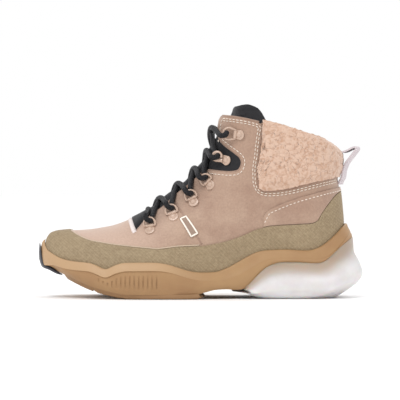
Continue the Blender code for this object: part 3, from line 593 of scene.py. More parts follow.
def cup_wall(share_up):
    """A rail up the cup's inner wall, from its floor to the lip."""
    def at(side, along):
        z = floor_z(along) + (lip_z(along) - floor_z(along)) * share_up
        point = skin_at(side, along, z, CUP_OUT)
        point.z = z
        return point
    return at


def lip_outer(side, along):
    """The lip's outer edge; the lip thins to under half round the nose, where the bumper stands."""
    thin = 1 - 0.55 * (1 - ease(0.0, 0.08, along))
    point = skin_at(side, along, lip_z(along), CUP_OUT + LIP_THICKNESS * thin)
    point.z = lip_z(along) - 0.0004
    return point


foam_edge = sole_rail(FOAM_FRONT, FOAM_BACK, -0.0022, lambda along, share: foam_bottom(share))
CORE_FRONT, CORE_BACK = 0.060, 0.9417
foam_core = sole_rail(CORE_FRONT, CORE_BACK, -CORE_INSET, core_bottom)
FOAM_WALL = [
    sole_rail(0.0105, 0.9480, -0.0026, lambda along, share: lip_z(along) - 0.0030),
    sole_rail(0.0100, 0.9567, -0.0006, lambda along, share: band_low(along)),
    lambda side, along: sole_rail(0.0106, 0.9560, -0.0006 - band_step(along),
                                  lambda at, share: band_low(at) - 0.0005)(side, along),
    sole_rail(0.0190, 0.9600, 0.0, wall_z(0.62)),
    sole_rail(0.0310, 0.9613, -0.0003, wall_z(0.25)),
    foam_edge,
]


NOTCH = (
    # along, height: shares of LAST_LENGTH and COLLAR_HEIGHT, from the throat round and back
    (0.500, 0.712),
    (0.545, 0.704),
    (0.606, 0.693),
    (0.640, 0.696),
    (0.653, 0.709),
    (0.660, 0.740),
    (0.655, 0.770),
    (0.640, 0.792),
    (0.606, 0.834),
    (0.589, 0.861),
    (0.560, 0.900),
)


def notch_outline(inset):
    """The notch seen from the side, each corner moved in by the inset."""
    ring = [Vector((TOE_X + a * LAST_LENGTH, h * COLLAR_HEIGHT)) for a, h in NOTCH]
    moved = []
    for n, here in enumerate(ring):
        before = (here - ring[n - 1]).normalized()
        after = (ring[(n + 1) % len(ring)] - here).normalized()
        inward = Vector((-before.y - after.y, before.x + after.x)).normalized()
        moved.append(here + inward * inset)
    return [tuple(p) for p in moved]


EDGE_KEEP = (0.284, 0.289, 0.294, 0.299, 0.303, 0.318, 0.545, 0.562, 0.575, 0.587, 0.596, 0.606, 0.619)
RAND_KEEP = (0.081, 0.086, 0.098, 0.115, 0.910, 0.927)
LIP_KEEP = (0.194, 0.214, 0.234, HEEL_START)
TONGUE_KEEP = (0.6085,)     # where the ridge passes the tongue's end


def foot_columns(first=0.0, last=1.0):
    """The sections that every piece on the upper shares."""
    kept = EDGE_KEEP + RAND_KEEP + LIP_KEEP + TONGUE_KEEP + (COUNTER_FRONT, FLEECE_FRONT, FLEECE_SIDE[-1][0])
    shared = stations(0.0, 1.0, keep=kept, spacing=0.056)
    inside = [c for c in shared if first < c < last]
    return [first] + inside + [last]


def edge_z(along):
    """The upper's top edge: the ridge over the vamp, then the throat and the collar."""
    return ridge_z(along) if along <= THROAT_FRONT else smooth(EDGE, along) * COLLAR_HEIGHT


def rand_z(along):
    return ridge_z(along) if along <= CAP_END else smooth(RAND_TOP, along) * COLLAR_HEIGHT


def rib_boxes():
    """Grooves between the upright ribs on both sides of the ball."""
    boxes = []
    wall = FOAM_WALL[3]
    for side in (LATERAL, MEDIAL):
        for n in range(RIB_COUNT):
            along = RIB_START + n * RIB_PITCH / LAST_LENGTH
            here, ahead = wall(side, along), wall(side, along + 0.004)
            low = foam_bottom((here.x - NOSE_X) / LENGTH) + RIB_MARGIN
            high = band_low(along) - RIB_MARGIN
            turn = math.atan2(ahead.y - here.y, ahead.x - here.x)
            middle = (here.x, here.y, (low + high) / 2)
            boxes.append((middle, (RIB_GROOVE, 2 * RIB_DEPTH, high - low), turn))
    return boxes


def ground_z(share):
    return smooth(GROUND, share) * LIP_HEIGHT


def lug_boxes(first, last, ground, reach):
    """Grooves across the tread from below; reach is the share of the tread's width that they cross."""
    boxes = []
    deep = 0.010
    count = round((last - first) * LENGTH / LUG_PITCH)
    for n in range(count):
        share = first + (n + 0.5) * (last - first) / count
        x = NOSE_X + share * LENGTH
        top = ground(share) + GROOVE_DEPTH
        wide = 2 * smooth(PLAN, share) * SOLE_WIDTH * reach
        boxes.append(((x, swing(share), top - deep / 2), (GROOVE_WIDTH, wide, deep), 0.0))
    return boxes


def heel_ground(share):
    return smooth(HEEL_GROUND, share) * LIP_HEIGHT


def heel_z(share_up):
    """A height between the heel unit's underside and its top edge."""
    def height(along, share):
        low = heel_ground(share)
        edge = FOAM_FRONT + (FOAM_BACK - FOAM_FRONT) * along
        return low + (foam_bottom(edge) - FIT - low) * share_up
    return height


def outside(rail):
    """The rail of a mating piece, which closes on the foam's edge with no gap."""
    def at(side, along):
        point = rail(side, along)
        out = Vector((ease(0.9, 1.0, along), side * (1 - ease(0.97, 1.0, along)), 1.0))
        return point + out * FIT
    return at


RINGS = (
    # name, along, height, degrees that it points forward of straight up
    ("dring_1", 0.3536, 0.3755, -2.0),
    ("dring_2", 0.4315, 0.4470, 16.0),
    ("dring_3", 0.5008, 0.5273, 22.0),
    ("dring_4", 0.5618, 0.6210, 32.0),
    ("hook_5", 0.6159, 0.7560, 63.0),
    ("dring_6", 0.6582, 0.8970, 82.0),
)


def ring_frame(side, along, height, lean, lift):
    """Where a ring sits: X across, Y towards the throat, Z out of the leather."""
    z = height * COLLAR_HEIGHT
    here = skin_at(side, along, z, lift)
    out = (skin_at(side, along, z, lift + 0.001) - here).normalized()
    turn = math.radians(lean)
    step = 0.004
    ahead = skin_at(side, along - math.sin(turn) * step / LAST_LENGTH, z + math.cos(turn) * step, lift)
    up = ahead - here
    up = (up - out * up.dot(out)).normalized()
    across = up.cross(out)
    frame = Matrix((across, up, out)).transposed().to_4x4()
    return Matrix.Translation(here) @ frame


RING_FOOT = PLATE_THICKNESS + 0.3 * RING_WIRE    # the wire ring starts this far out of the plate's back


def lace_end(ring, side, aside):
    """Where a lace ends beside the far end of a ring: its point, share along and angle.

    Two strands leave each ring side by side, one before and one behind its middle.
    """
    name, along, height, lean = ring
    tilt = math.radians(RING_TILT)
    far = HOOK_FOOT + 2.3 * HOOK_BEND if name.startswith("hook") else 2 * RING_RADIUS * math.cos(tilt)
    reach = far + RING_WIRE / 2 + LACE_GAP
    shift = aside * (LACE_DIAMETER + FIT) / 2
    place = ring_frame(side, along, height, lean, RING_LIFT)
    point = place @ Vector((-side * shift, reach, RING_FOOT + 2 * RING_RADIUS * math.sin(tilt)))
    turn = math.radians(lean)
    there = along + (math.cos(turn) * shift - math.sin(turn) * reach) / LAST_LENGTH
    z = height * COLLAR_HEIGHT + math.cos(turn) * reach + math.sin(turn) * shift
    return point, there, angle_at(there, z)

# %% [markdown]
# Small tools: meshes from grids with a UV map in metres, modifiers, tubes and nodes.

# %% Mesh tools
def add_object(name, mesh, materials, replaced=()):
    """A piece of the boot, which rides on its one body."""
    made = bpy.data.objects.new(name, mesh)
    bpy.context.scene.collection.objects.link(made)
    for material in materials:
        mesh.materials.append(material)
    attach(made, "root")
    if replaced:
        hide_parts(*replaced)
    return made


def finish_mesh(name, points, faces, uvs=None, sharp=40):
    """A mesh with smooth shading, sharp where its faces turn by more than the given degrees."""
    mesh = bpy.data.meshes.new(name)
    mesh.from_pydata([tuple(p) for p in points], [], faces)
    if uvs:
        layer = mesh.uv_layers.new(name="surface")
        for loop in mesh.loops:
            layer.data[loop.index].uv = uvs[loop.vertex_index]
    mesh.shade_smooth()
    mesh.set_sharp_from_angle(angle=math.radians(sharp))
    return mesh


def sheet_mesh(name, columns, lines, rows, out, keep=None):
    """An open sheet on the upper's form between lines round it, on both sides of the foot.

    There is one number of rows for each band between two lines. Its UV map is in metres: along the
    foot and up the section. Only the side to keep is made, if one is given.
    """
    points, uvs, faces, index = [], [], [], {}
    steps = [(band, row) for band, count in enumerate(rows) for row in range(count)]
    steps.append((len(rows) - 1, rows[-1]))

    def point(side, i, step):
        band, row = steps[step]
        along = columns[i]
        bottom, top = lines[band](along), lines[band + 1](along)
        if top - bottom < 1e-6:
            step -= row
        first, last = angle_at(along, bottom), angle_at(along, top)
        part = row / rows[band]
        angle = first + (last - first) * part
        seam = along in (0.0, 1.0) or angle > math.pi / 2 - 1e-4
        key = (0 if seam else side, i, step)
        if key not in index:
            index[key] = len(points)
            here = skin(side, along, angle, 0.0)
            depth = out(side, along, here) if callable(out) else out
            spot = skin(side, along, angle, depth)
            below = index.get((side, i, step - 1), index.get((0, i, step - 1)))
            run = here.z if below is None else uvs[below][1] + (spot - points[below]).length
            points.append(spot)
            uvs.append((along * LAST_LENGTH, run))
        return index[key]

    for side in (LATERAL, MEDIAL):
        if keep and side != keep:
            continue
        for i in range(len(columns) - 1):
            for step in range(len(steps) - 1):
                corners = [point(side, i, step), point(side, i + 1, step),
                           point(side, i + 1, step + 1), point(side, i, step + 1)]
                corners = list(dict.fromkeys(corners))
                if len(corners) > 2:
                    faces.append(corners if side == LATERAL else corners[::-1])
    return finish_mesh(name, points, faces, uvs)


def thicken(thing, thickness, outwards, inner=0, even=True):
    """Give an open sheet its wall, with another material on its inner face if one is given."""
    wall = thing.modifiers.new("wall", "SOLIDIFY")
    wall.thickness = thickness
    wall.offset = 1.0 if outwards else -1.0
    wall.use_even_offset = even
    wall.use_quality_normals = True
    wall.material_offset = inner
    return thing


def round_edges(thing, width, segments=2):
    soft = thing.modifiers.new("soft edges", "BEVEL")
    soft.width = width
    soft.segments = segments
    soft.limit_method = "ANGLE"
    soft.angle_limit = math.radians(50)
    return thing


def cut(thing, cutter, operation="DIFFERENCE"):
    """Apply a boolean with a helper mesh, which isn't kept."""
    helper = bpy.data.objects.new("cutter", cutter)
    bpy.context.scene.collection.objects.link(helper)
    made = thing.modifiers.new("cut", "BOOLEAN")
    made.operation = operation
    made.object = helper
    settle(thing)
    bpy.data.objects.remove(helper)
    bpy.data.meshes.remove(cutter)
    return thing


def settle(thing):
    """Apply every modifier."""
    graph = bpy.context.evaluated_depsgraph_get()
    made = bpy.data.meshes.new_from_object(thing.evaluated_get(graph), depsgraph=graph)
    thing.modifiers.clear()
    thing.data = made
    return thing


def ladder_mesh(name, columns, rails, open_front=False):
    """A closed solid between rails that run round the foot, with flat rungs on its two faces."""
    points, uvs, faces, index = [], [], [], {}

    def point(side, i, k):
        seam = columns[i] in (0.0, 1.0)
        key = (0 if seam else side, i, k)
        if key not in index:
            index[key] = len(points)
            here = rails[k](side, columns[i])
            points.append(here)
            uvs.append((here.x, here.z))
        return index[key]

    for i in range(len(columns) - 1):
        for k in range(len(rails) - 1):
            for side in (LATERAL, MEDIAL):
                corners = [point(side, i, k), point(side, i + 1, k),
                           point(side, i + 1, k + 1), point(side, i, k + 1)]
                faces.append(corners[::side])
        for k, turn in ((0, 1), (len(rails) - 1, -1)):
            corners = [point(LATERAL, i, k), point(MEDIAL, i, k),
                       point(MEDIAL, i + 1, k), point(LATERAL, i + 1, k)]
            corners = list(dict.fromkeys(corners))
            if len(corners) > 2:
                faces.append(corners[::turn])
    for i, open_end in ((0, open_front), (len(columns) - 1, columns[-1] != 1.0)):
        if open_end:
            ring = [point(LATERAL, i, k) for k in range(len(rails))]
            ring += [point(MEDIAL, i, k) for k in reversed(range(len(rails)))]
            faces.append(ring)
    mesh = finish_mesh(name, points, faces, uvs)
    shape = bmesh.new()
    shape.from_mesh(mesh)
    bmesh.ops.recalc_face_normals(shape, faces=shape.faces)
    shape.to_mesh(mesh)
    shape.free()
    return mesh


def curved(points, count):
    """Points of a smooth curve through the given ones, evenly counted between each two."""
    spots = [points[0] * 2 - points[1], *points, points[-1] * 2 - points[-2]]
    made = []
    for a, b, c, d in zip(spots, spots[1:], spots[2:], spots[3:]):
        for n in range(count):
            t = n / count
            made.append(0.5 * (2 * b + (c - a) * t + (2 * a - 5 * b + 4 * c - d) * t * t
                               + (3 * b - a - 3 * c + d) * t ** 3))
    return made + [points[-1]]


def tube_into(shape, points, radius, sides=8, closed=False, normals=None, flat=1.0):
    """Add a round or flattened tube along the points to a bmesh, with UV in metres."""
    layer = shape.loops.layers.uv.verify()
    rings, run = [], 0.0
    count = len(points)
    up = Vector((0, 0, 1))
    for n, here in enumerate(points):
        ahead = points[(n + 1) % count] if closed or n < count - 1 else here
        behind = points[n - 1] if closed or n > 0 else here
        along = (ahead - behind).normalized()
        if normals:
            up = normals[n]
        up = up - along * up.dot(along)
        up = up.normalized() if up.length > 1e-6 else along.orthogonal().normalized()
        side = along.cross(up)
        if n:
            run += (here - points[n - 1]).length
        ring = []
        for k in range(sides):
            turn = 2 * math.pi * k / sides
            ring.append(shape.verts.new(here + (side * math.cos(turn) + up * math.sin(turn) * flat) * radius))
        rings.append((ring, run))
    pairs = list(zip(rings, rings[1:])) + ([(rings[-1], rings[0])] if closed else [])
    for (low, at_low), (high, at_high) in pairs:
        for k in range(sides):
            face = shape.faces.new((low[k], low[(k + 1) % sides], high[(k + 1) % sides], high[k]))
            face.smooth = True
            for loop, spot in zip(face.loops, ((k, at_low), (k + 1, at_low), (k + 1, at_high), (k, at_high))):
                loop[layer].uv = (spot[0] / sides, spot[1])
    if not closed:
        shape.faces.new(rings[0][0][::-1]).smooth = True
        shape.faces.new(rings[-1][0]).smooth = True


def from_bmesh(name, shape):
    bmesh.ops.recalc_face_normals(shape, faces=shape.faces)
    mesh = bpy.data.meshes.new(name)
    shape.to_mesh(mesh)
    shape.free()
    return mesh

# %% [markdown]
# Materials. Each is named for its finish, or for the light painted into it, and built node by node, with the
# pattern's scale worked out from its size in millimetres.

# %% Material tools
def linear(code):
    """A hex colour, as seen, as the linear colour that a shader takes."""
    parts = [int(code[i:i + 2], 16) / 255 for i in (1, 3, 5)]
    return (*(p / 12.92 if p <= 0.04045 else ((p + 0.055) / 1.055) ** 2.4 for p in parts), 1.0)


def add(tree, kind, inputs=(), **settings):
    """Add a node with its settings; an input is a value, or the socket that feeds it."""
    node = tree.nodes.new(kind)
    for key, value in settings.items():
        setattr(node, key, value)
    for key, value in dict(inputs).items():
        if isinstance(value, bpy.types.NodeSocket):
            tree.links.new(value, node.inputs[key])
        else:
            node.inputs[key].default_value = value
    return node


def start_material(name, **constants):
    """A Principled material: its node tree and its shader, with the constant sockets set."""
    made = bpy.data.materials.new(name)
    made.use_nodes = True
    tree = made.node_tree
    shader = tree.nodes["Principled BSDF"]
    for key, value in constants.items():
        shader.inputs[key.replace("_", " ")].default_value = value
    return made, tree, shader


def place(tree, mapped="Object", scale=(1, 1, 1), turn=0.0):
    """Texture coordinates, scaled and turned about the view's own axis."""
    coords = add(tree, "ShaderNodeTexCoord")
    return add(tree, "ShaderNodeMapping", {"Vector": coords.outputs[mapped], "Scale": scale,
                                           "Rotation": (0, 0, math.radians(turn))}).outputs["Vector"]


def grain(tree, size_mm, detail=3.0, rough=0.5, vector=None, kind="noise"):
    """A noise or cell pattern whose features measure about the given millimetres."""
    where = vector or place(tree)
    if kind == "cells":
        return add(tree, "ShaderNodeTexVoronoi", {"Vector": where, "Scale": 1000 / size_mm}).outputs["Distance"]
    return add(tree, "ShaderNodeTexNoise", {"Vector": where, "Scale": 1000 / size_mm, "Detail": detail,
                                            "Roughness": rough}).outputs["Fac"]


def ramp(tree, factor, *stops):
    """Blend colours along a factor: pairs of place and hex."""
    node = add(tree, "ShaderNodeValToRGB", {"Fac": factor})
    while len(node.color_ramp.elements) < len(stops):
        node.color_ramp.elements.new(0.5)
    for element, (at, code) in zip(node.color_ramp.elements, stops):
        element.position = at
        element.color = linear(code)
    return node.outputs["Color"]


def bumps(tree, shader, *layers):
    """Stack bump layers, each a height socket and its depth in millimetres."""
    last = None
    for height, depth_mm in layers:
        inputs = {"Height": height, "Distance": depth_mm / 1000, "Strength": 1.0}
        if last:
            inputs["Normal"] = last
        last = add(tree, "ShaderNodeBump", inputs).outputs["Normal"]
    tree.links.new(last, shader.inputs["Normal"])


def spread(tree, value, low, high, to_low=0.0, to_high=1.0):
    """Map a value smoothly between two ends."""
    return add(tree, "ShaderNodeMapRange", {"Value": value, "From Min": low, "From Max": high,
                                            "To Min": to_low, "To Max": to_high},
               interpolation_type="SMOOTHSTEP").outputs["Result"]


def mixed(tree, factor, first, second, blend="MIX"):
    """Mix two colours."""
    node = tree.nodes.new("ShaderNodeMix")
    node.data_type, node.blend_type = "RGBA", blend
    for key, value in ((0, factor), (6, first), (7, second)):
        if isinstance(value, bpy.types.NodeSocket):
            tree.links.new(value, node.inputs[key])
        else:
            node.inputs[key].default_value = value
    return node.outputs[2]


def object_axis(tree, axis):
    coords = add(tree, "ShaderNodeTexCoord")
    return add(tree, "ShaderNodeSeparateXYZ", {"Vector": coords.outputs["Object"]}).outputs[axis]


# %% Leather, lining and thread
def leather(name, main, shade, warm):
    """Brushed leather: soft clouds of tone, a pinker toe, painted shade that darkens it towards the collar, fine
    pores and a short nap.
    """
    made, tree, shader = start_material(name, Sheen_Weight=0.25, Sheen_Roughness=0.6,
                                        Specular_IOR_Level=0.35)
    clouds = ramp(tree, grain(tree, 34, 4.0, 0.6), (0.36, shade), (0.62, main))
    toe = spread(tree, object_axis(tree, "X"), -0.005, -0.085)
    tone = mixed(tree, toe, clouds, linear(warm))
    # painted shade: from 75 to 125 mm up, the tone darkens towards the shade colour, standing for the shade near
    # the collar
    tone = mixed(tree, spread(tree, object_axis(tree, "Z"), 0.075, 0.125, 0.0, 0.45), tone, linear(shade))
    nap = grain(tree, 1.6, 5.0, 0.65)
    tone = mixed(tree, 0.35, tone, ramp(tree, nap, (0.3, "#9E8270"), (0.7, "#F0DCCB")), "SOFT_LIGHT")
    tree.links.new(tone, shader.inputs["Base Color"])
    tree.links.new(spread(tree, nap, 0.3, 0.7, 0.5, 0.66), shader.inputs["Roughness"])
    pores = grain(tree, 0.75, 2.0, 0.5, kind="cells")
    bumps(tree, shader, (grain(tree, 9, 3.0, 0.5), 0.5), (nap, 0.16), (pores, 0.07))
    return made


def cloth(name, main, shade, thread_mm, depth_mm=0.15, roughness=0.85, mapped="UV", turn=45.0, sheen=0.3):
    """Woven cloth: two crossing waves of threads."""
    made, tree, shader = start_material(name, Roughness=roughness, Sheen_Weight=sheen)
    heights = []
    for axis in ("X", "Y"):
        wave = add(tree, "ShaderNodeTexWave", {"Vector": place(tree, mapped, turn=turn),
                                               "Scale": 1000 / thread_mm / 20 * math.tau,
                                               "Distortion": 0.6, "Detail": 1.0},
                   bands_direction=axis)
        heights.append(wave.outputs["Fac"])
    weave = add(tree, "ShaderNodeMath", {0: heights[0], 1: heights[1]}, operation="MULTIPLY").outputs["Value"]
    clouds = grain(tree, 14, 3.0, 0.6)
    tone = ramp(tree, weave, (0.0, shade), (0.7, main))
    tone = mixed(tree, 0.25, tone, ramp(tree, clouds, (0.3, shade), (0.7, main)))
    tree.links.new(tone, shader.inputs["Base Color"])
    bumps(tree, shader, (weave, depth_mm), (grain(tree, 0.5, 2.0), 0.05))
    return made


def pile(name, main, shade, lump_mm):
    """Curly pile: soft worm-like curls, with painted shade darkening their crevices, and a fine fuzz."""
    made, tree, shader = start_material(name, Roughness=0.95, Sheen_Weight=0.35, Sheen_Roughness=0.5)
    curl = add(tree, "ShaderNodeTexNoise", {"Vector": place(tree), "Scale": 1000 / lump_mm, "Detail": 1.0,
                                            "Distortion": 1.4}).outputs["Fac"]
    fuzz = grain(tree, 0.8, 3.0, 0.6)
    # painted shade: the low places of the curls take the darker tone, standing for shade in the crevices
    tone = ramp(tree, curl, (0.30, shade), (0.56, main))
    tone = mixed(tree, 0.12, tone, ramp(tree, fuzz, (0.3, shade), (0.7, main)))
    tree.links.new(tone, shader.inputs["Base Color"])
    bumps(tree, shader, (curl, 0.5), (fuzz, 0.10))
    return made


LEATHER = leather("nubuck_taupe", "#AD9584", "#9C8272", "#BAA192")
EDGE_PAINT = leather("leather_edge", "#9E8576", "#8C7363", "#A48A7E")
LINING = cloth("lining_cream", "#E6D8C8", "#CBB7A2", 1.2)
FLEECE = pile("pile_cream", "#D0B29E", "#B9937B", 4.2)
THREAD = cloth("thread_cream", "#F7EEE3", "#E2D2C2", 0.4, 0.03)
# painted highlight: a cream cloth for the rolled edge along the rand's top, paler than the leather to stand for
# the light on that edge
PAINTED_EDGE_HIGHLIGHT = cloth("painted_highlight_cream", "#CDB9A3", "#BBA68F", 0.6, 0.03)
BINDING = cloth("binding_white", "#F3ECE9", "#DCCFCB", 0.7, 0.06)


# %% Rand, webbing, tongue, lace and metal
def rand_skin():
    """Textured guard: a fine slanting grid pressed into a matt coat, with broad tonal panels."""
    made, tree, shader = start_material("rand_khaki", Roughness=0.72, Specular_IOR_Level=0.3)
    heights = []
    for turn, size in ((38.0, 1.7), (-50.0, 2.3)):
        wave = add(tree, "ShaderNodeTexWave", {"Vector": place(tree, "UV", turn=turn),
                                               "Scale": 1000 / size / 20 * math.tau, "Distortion": 1.6,
                                               "Detail": 2.0, "Detail Scale": 1.4})
        heights.append(wave.outputs["Fac"])
    net = add(tree, "ShaderNodeMath", {0: heights[0], 1: heights[1]}, operation="MULTIPLY").outputs["Value"]
    tone = ramp(tree, net, (0.0, "#867459"), (0.6, "#A38F73"))
    clouds = grain(tree, 26, 3.0, 0.6)
    tone = mixed(tree, 0.4, tone, ramp(tree, clouds, (0.35, "#917F67"), (0.65, "#A29075")))
    tone = mixed(tree, 0.30, tone, ramp(tree, grain(tree, 2.4, 4.0, 0.7), (0.38, "#7E6C50"), (0.62, "#B4A183")))
    tree.links.new(tone, shader.inputs["Base Color"])
    bumps(tree, shader, (net, 0.22), (grain(tree, 0.7, 2.0), 0.06))
    return made


def moulded(name, main, shade, roughness, speck_mm=1.2, depth_mm=0.05, band=None, **constants):
    """Moulded foam or rubber: near plain, with a fine skin and slow changes of tone.

    A band is a painted highlight: a paler tone above the step in front, where the UV map's second place is 1,
    standing for light on the lip's upward faces.
    """
    made, tree, shader = start_material(name, **constants)
    clouds = grain(tree, 40, 3.0, 0.55)
    skin_tone = grain(tree, speck_mm, 3.0, 0.6)
    tone = ramp(tree, clouds, (0.34, shade), (0.64, main))
    # painted highlight: the band above the step turns paler towards the toe, for light falling on its upward
    # faces
    if band:
        above = add(tree, "ShaderNodeSeparateXYZ",
                    {"Vector": add(tree, "ShaderNodeTexCoord").outputs["UV"]}).outputs["Y"]
        front = spread(tree, object_axis(tree, "X"), 0.020, -0.040)
        band_highlight_mask = add(tree, "ShaderNodeMath", {0: spread(tree, above, 0.3, 0.7), 1: front}, operation="MULTIPLY")
        tone = mixed(tree, band_highlight_mask.outputs["Value"], tone, linear(band))
    tree.links.new(tone, shader.inputs["Base Color"])
    tree.links.new(spread(tree, skin_tone, 0.3, 0.7, roughness - 0.06, roughness + 0.06),
                   shader.inputs["Roughness"])
    bumps(tree, shader, (grain(tree, 18, 2.0), 0.25), (skin_tone, depth_mm))
    return made


def braid():
    """Round lace: slanting plaits round the tube, from its UV map."""
    made, tree, shader = start_material("lace_black", Roughness=0.6, Sheen_Weight=0.04,
                                        Specular_IOR_Level=0.3)
    coords = add(tree, "ShaderNodeTexCoord").outputs["UV"]
    parts = add(tree, "ShaderNodeSeparateXYZ", {"Vector": coords})
    round_ = add(tree, "ShaderNodeMath", {0: parts.outputs["X"], 1: 4 * math.tau}, operation="MULTIPLY")
    plaits = []
    for lean in (1, -1):
        run = add(tree, "ShaderNodeMath", {0: parts.outputs["Y"], 1: lean * math.tau / 0.0026},
                  operation="MULTIPLY")
        both = add(tree, "ShaderNodeMath", {0: round_.outputs[0], 1: run.outputs[0]}, operation="ADD")
        plaits.append(add(tree, "ShaderNodeMath", {0: both.outputs[0]}, operation="SINE").outputs[0])
    net = add(tree, "ShaderNodeMath", {0: plaits[0], 1: plaits[1]}, operation="MAXIMUM").outputs[0]
    tone = ramp(tree, spread(tree, net, -0.4, 1.0), (0.0, "#060608"), (1.0, "#17161B"))
    tree.links.new(tone, shader.inputs["Base Color"])
    bumps(tree, shader, (net, 0.22))
    return made


RAND = rand_skin()
# the foam's band colour is a painted highlight above the step
FOAM = moulded("foam_caramel", "#A7845C", "#9C7752", 0.5, band="#B59470", Specular_IOR_Level=0.4)
TREAD = moulded("tread_tan", "#A07C58", "#94714D", 0.62, 0.8, 0.08)
TOE_RUBBER = moulded("toe_rubber_black", "#34333B", "#2B2A31", 0.5, 0.9, 0.06)
FOOTBED = cloth("footbed_brushed", "#C9AE93", "#B3977B", 1.4)
TONGUE = cloth("tongue_black", "#19181F", "#0D0D12", 0.8, 0.1, 0.7, sheen=0.1)
STRETCH = cloth("stretch_black", "#15141A", "#0A090D", 0.9, 0.12, 0.75, sheen=0.05)
LACE = braid()
METAL = moulded("painted_taupe_metal", "#C2A795", "#B79C89", 0.32, 0.6, 0.02, Coat_Weight=0.25)
WEB_OUT = cloth("webbing_pale", "#DCD2D4", "#BFB2B7", 1.1, 0.2)
WEB_IN = cloth("webbing_mauve", "#8E7F8A", "#74666F", 1.1, 0.2)
FRAME_RUBBER = moulded("label_frame_white", "#FBF4EA", "#F0E7DB", 0.45, 0.6, 0.02)
LABEL_FIELD = cloth("label_field_taupe", "#A48E7F", "#927B6C", 0.8, 0.08)


def frosted(name, main, shade, painted_foam_shade, through):
    """Clear rubber, sandblasted: milky, with painted shade and the foam's colour seen through it painted near its
    top edge.
    """
    made, tree, shader = start_material(name, Roughness=0.32, IOR=1.42, Transmission_Weight=through,
                                        Coat_Weight=0.2, Coat_Roughness=0.25, Subsurface_Weight=0.3,
                                        Subsurface_Scale=0.006)
    coords = add(tree, "ShaderNodeTexCoord").outputs["UV"]
    height = add(tree, "ShaderNodeSeparateXYZ", {"Vector": coords}).outputs["Y"]
    tone = ramp(tree, grain(tree, 22, 3.0, 0.6), (0.3, shade), (0.6, main))
    # painted shade: near its top edge the rubber takes a grey-brown tone, for the shade under the foam and the
    # foam seen through it
    tone = mixed(tree, spread(tree, height, 0.52, 0.90), tone, linear(painted_foam_shade))
    tree.links.new(tone, shader.inputs["Base Color"])
    bumps(tree, shader, (grain(tree, 12, 2.0), 0.3), (grain(tree, 0.8, 2.0), 0.03))
    return made


CLEAR = frosted("clear_frosted", "#F4F1F1", "#E8E3E3", "#BDA996", 0.3)

# %% [markdown]
# The upper. Its relief: flex creases across the vamp, a soft fold at the ankle and
# slow waves along the quarter. Depths are in millimetres, places in shares along and up.

# %% Upper
CREASES = (
    # along, height, length along, length up, slant, depth
    (0.255, 0.365, 0.020, 0.100, -0.35, -0.55),
    (0.285, 0.330, 0.018, 0.090, -0.30, -0.40),
    (0.225, 0.350, 0.018, 0.080, -0.25, -0.30),
    (0.410, 0.420, 0.060, 0.100, 0.60, 0.45),
    (0.560, 0.500, 0.050, 0.130, 0.20, -0.55),
    (0.610, 0.580, 0.045, 0.100, -0.35, 0.50),
    (0.660, 0.560, 0.030, 0.130, -0.20, -0.50),
    (0.700, 0.470, 0.080, 0.060, -0.50, 0.45),
    (0.660, 0.820, 0.028, 0.120, -0.10, -0.35),
    (0.800, 0.560, 0.080, 0.035, 0.10, -0.35),
    (0.500, 0.600, 0.030, 0.060, 0.50, -0.35),
)


def relief(side, along, here):
    """How far the leather stands out of its form at a spot: creases, folds and slow waves."""
    high = here.z / COLLAR_HEIGHT
    total = 0.0
    for at, up, long_, tall, slant, depth in CREASES:
        across = (along - at - slant * (high - up) * 0.6) / long_
        rise = (high - up) / tall
        total += depth * math.exp(-across * across - rise * rise)
    wave = noise.noise(Vector((here.x, here.y * 0.6, here.z)) * 34)
    edges = ease(0.0, 0.05, high - smooth(RAND_TOP, along)) if along > CAP_END else 0.0
    return (total * (1.0 if side == LATERAL else 0.7) + 0.35 * wave) * 0.001 * edges


def fine_columns(first=0.0, last=1.0, spacing=0.011):
    kept = EDGE_KEEP + RAND_KEEP + LIP_KEEP + TONGUE_KEEP + (COUNTER_FRONT, FLEECE_FRONT, FLEECE_SIDE[-1][0])
    inside = [c for c in stations(0.0, 1.0, keep=kept, spacing=spacing) if first < c < last]
    return [first] + inside + [last]


def side_prism(name, outline, reach=0.08):
    """A side outline drawn out across the boot, as a closed mesh."""
    shape = bmesh.new()
    ring = [shape.verts.new((x, -reach, z)) for x, z in outline]
    drawn = bmesh.ops.extrude_face_region(shape, geom=[shape.faces.new(ring)])
    moved = [item for item in drawn["geom"] if isinstance(item, bmesh.types.BMVert)]
    bmesh.ops.translate(shape, verts=moved, vec=(0, 2 * reach, 0))
    return from_bmesh(name, shape)


def rounded(outline, count=5):
    """The outline's corners run through with a smooth closed curve."""
    spots = [Vector(p) for p in outline]
    ring = [spots[-1], *spots, spots[0], spots[1]]
    made = []
    for a, b, c, d in zip(ring, ring[1:], ring[2:], ring[3:]):
        for n in range(count):
            t = n / count
            made.append(0.5 * (2 * b + (c - a) * t + (2 * a - 5 * b + 4 * c - d) * t * t
                               + (3 * b - a - 3 * c + d) * t ** 3))
    return made


mesh = sheet_mesh("upper_leather", fine_columns(), (floor_z, rand_z, edge_z), (10, 34), relief)
upper = add_object("upper_leather", mesh, (LEATHER, LINING), ("upper",))
thicken(upper, WALL, False, inner=1)
settle(upper)
cut(upper, side_prism("notch", rounded(notch_outline(0.0))))

# %% Rand and heel counter
mesh = sheet_mesh("rand_guard", fine_columns(), (floor_z, rand_z), (14,), FIT)
rand = add_object("rand_guard", mesh, (RAND,), ("rand",))
round_edges(thicken(rand, RAND_THICKNESS, True), 0.0004)


def counter_low(along):
    return rand_z(along) + 2 * FIT


def counter_out(side, along, here):
    return FIT + max(relief(side, along, here), 0.0)


mesh = sheet_mesh("heel_counter_leather", fine_columns(COUNTER_FRONT + 0.004),
                  (counter_low, line(COUNTER_TOP)), (10,), counter_out)
counter = add_object("heel_counter_leather", mesh, (LEATHER,), ("heel_counter",))
round_edges(thicken(counter, COUNTER_THICKNESS, True), 0.0004)


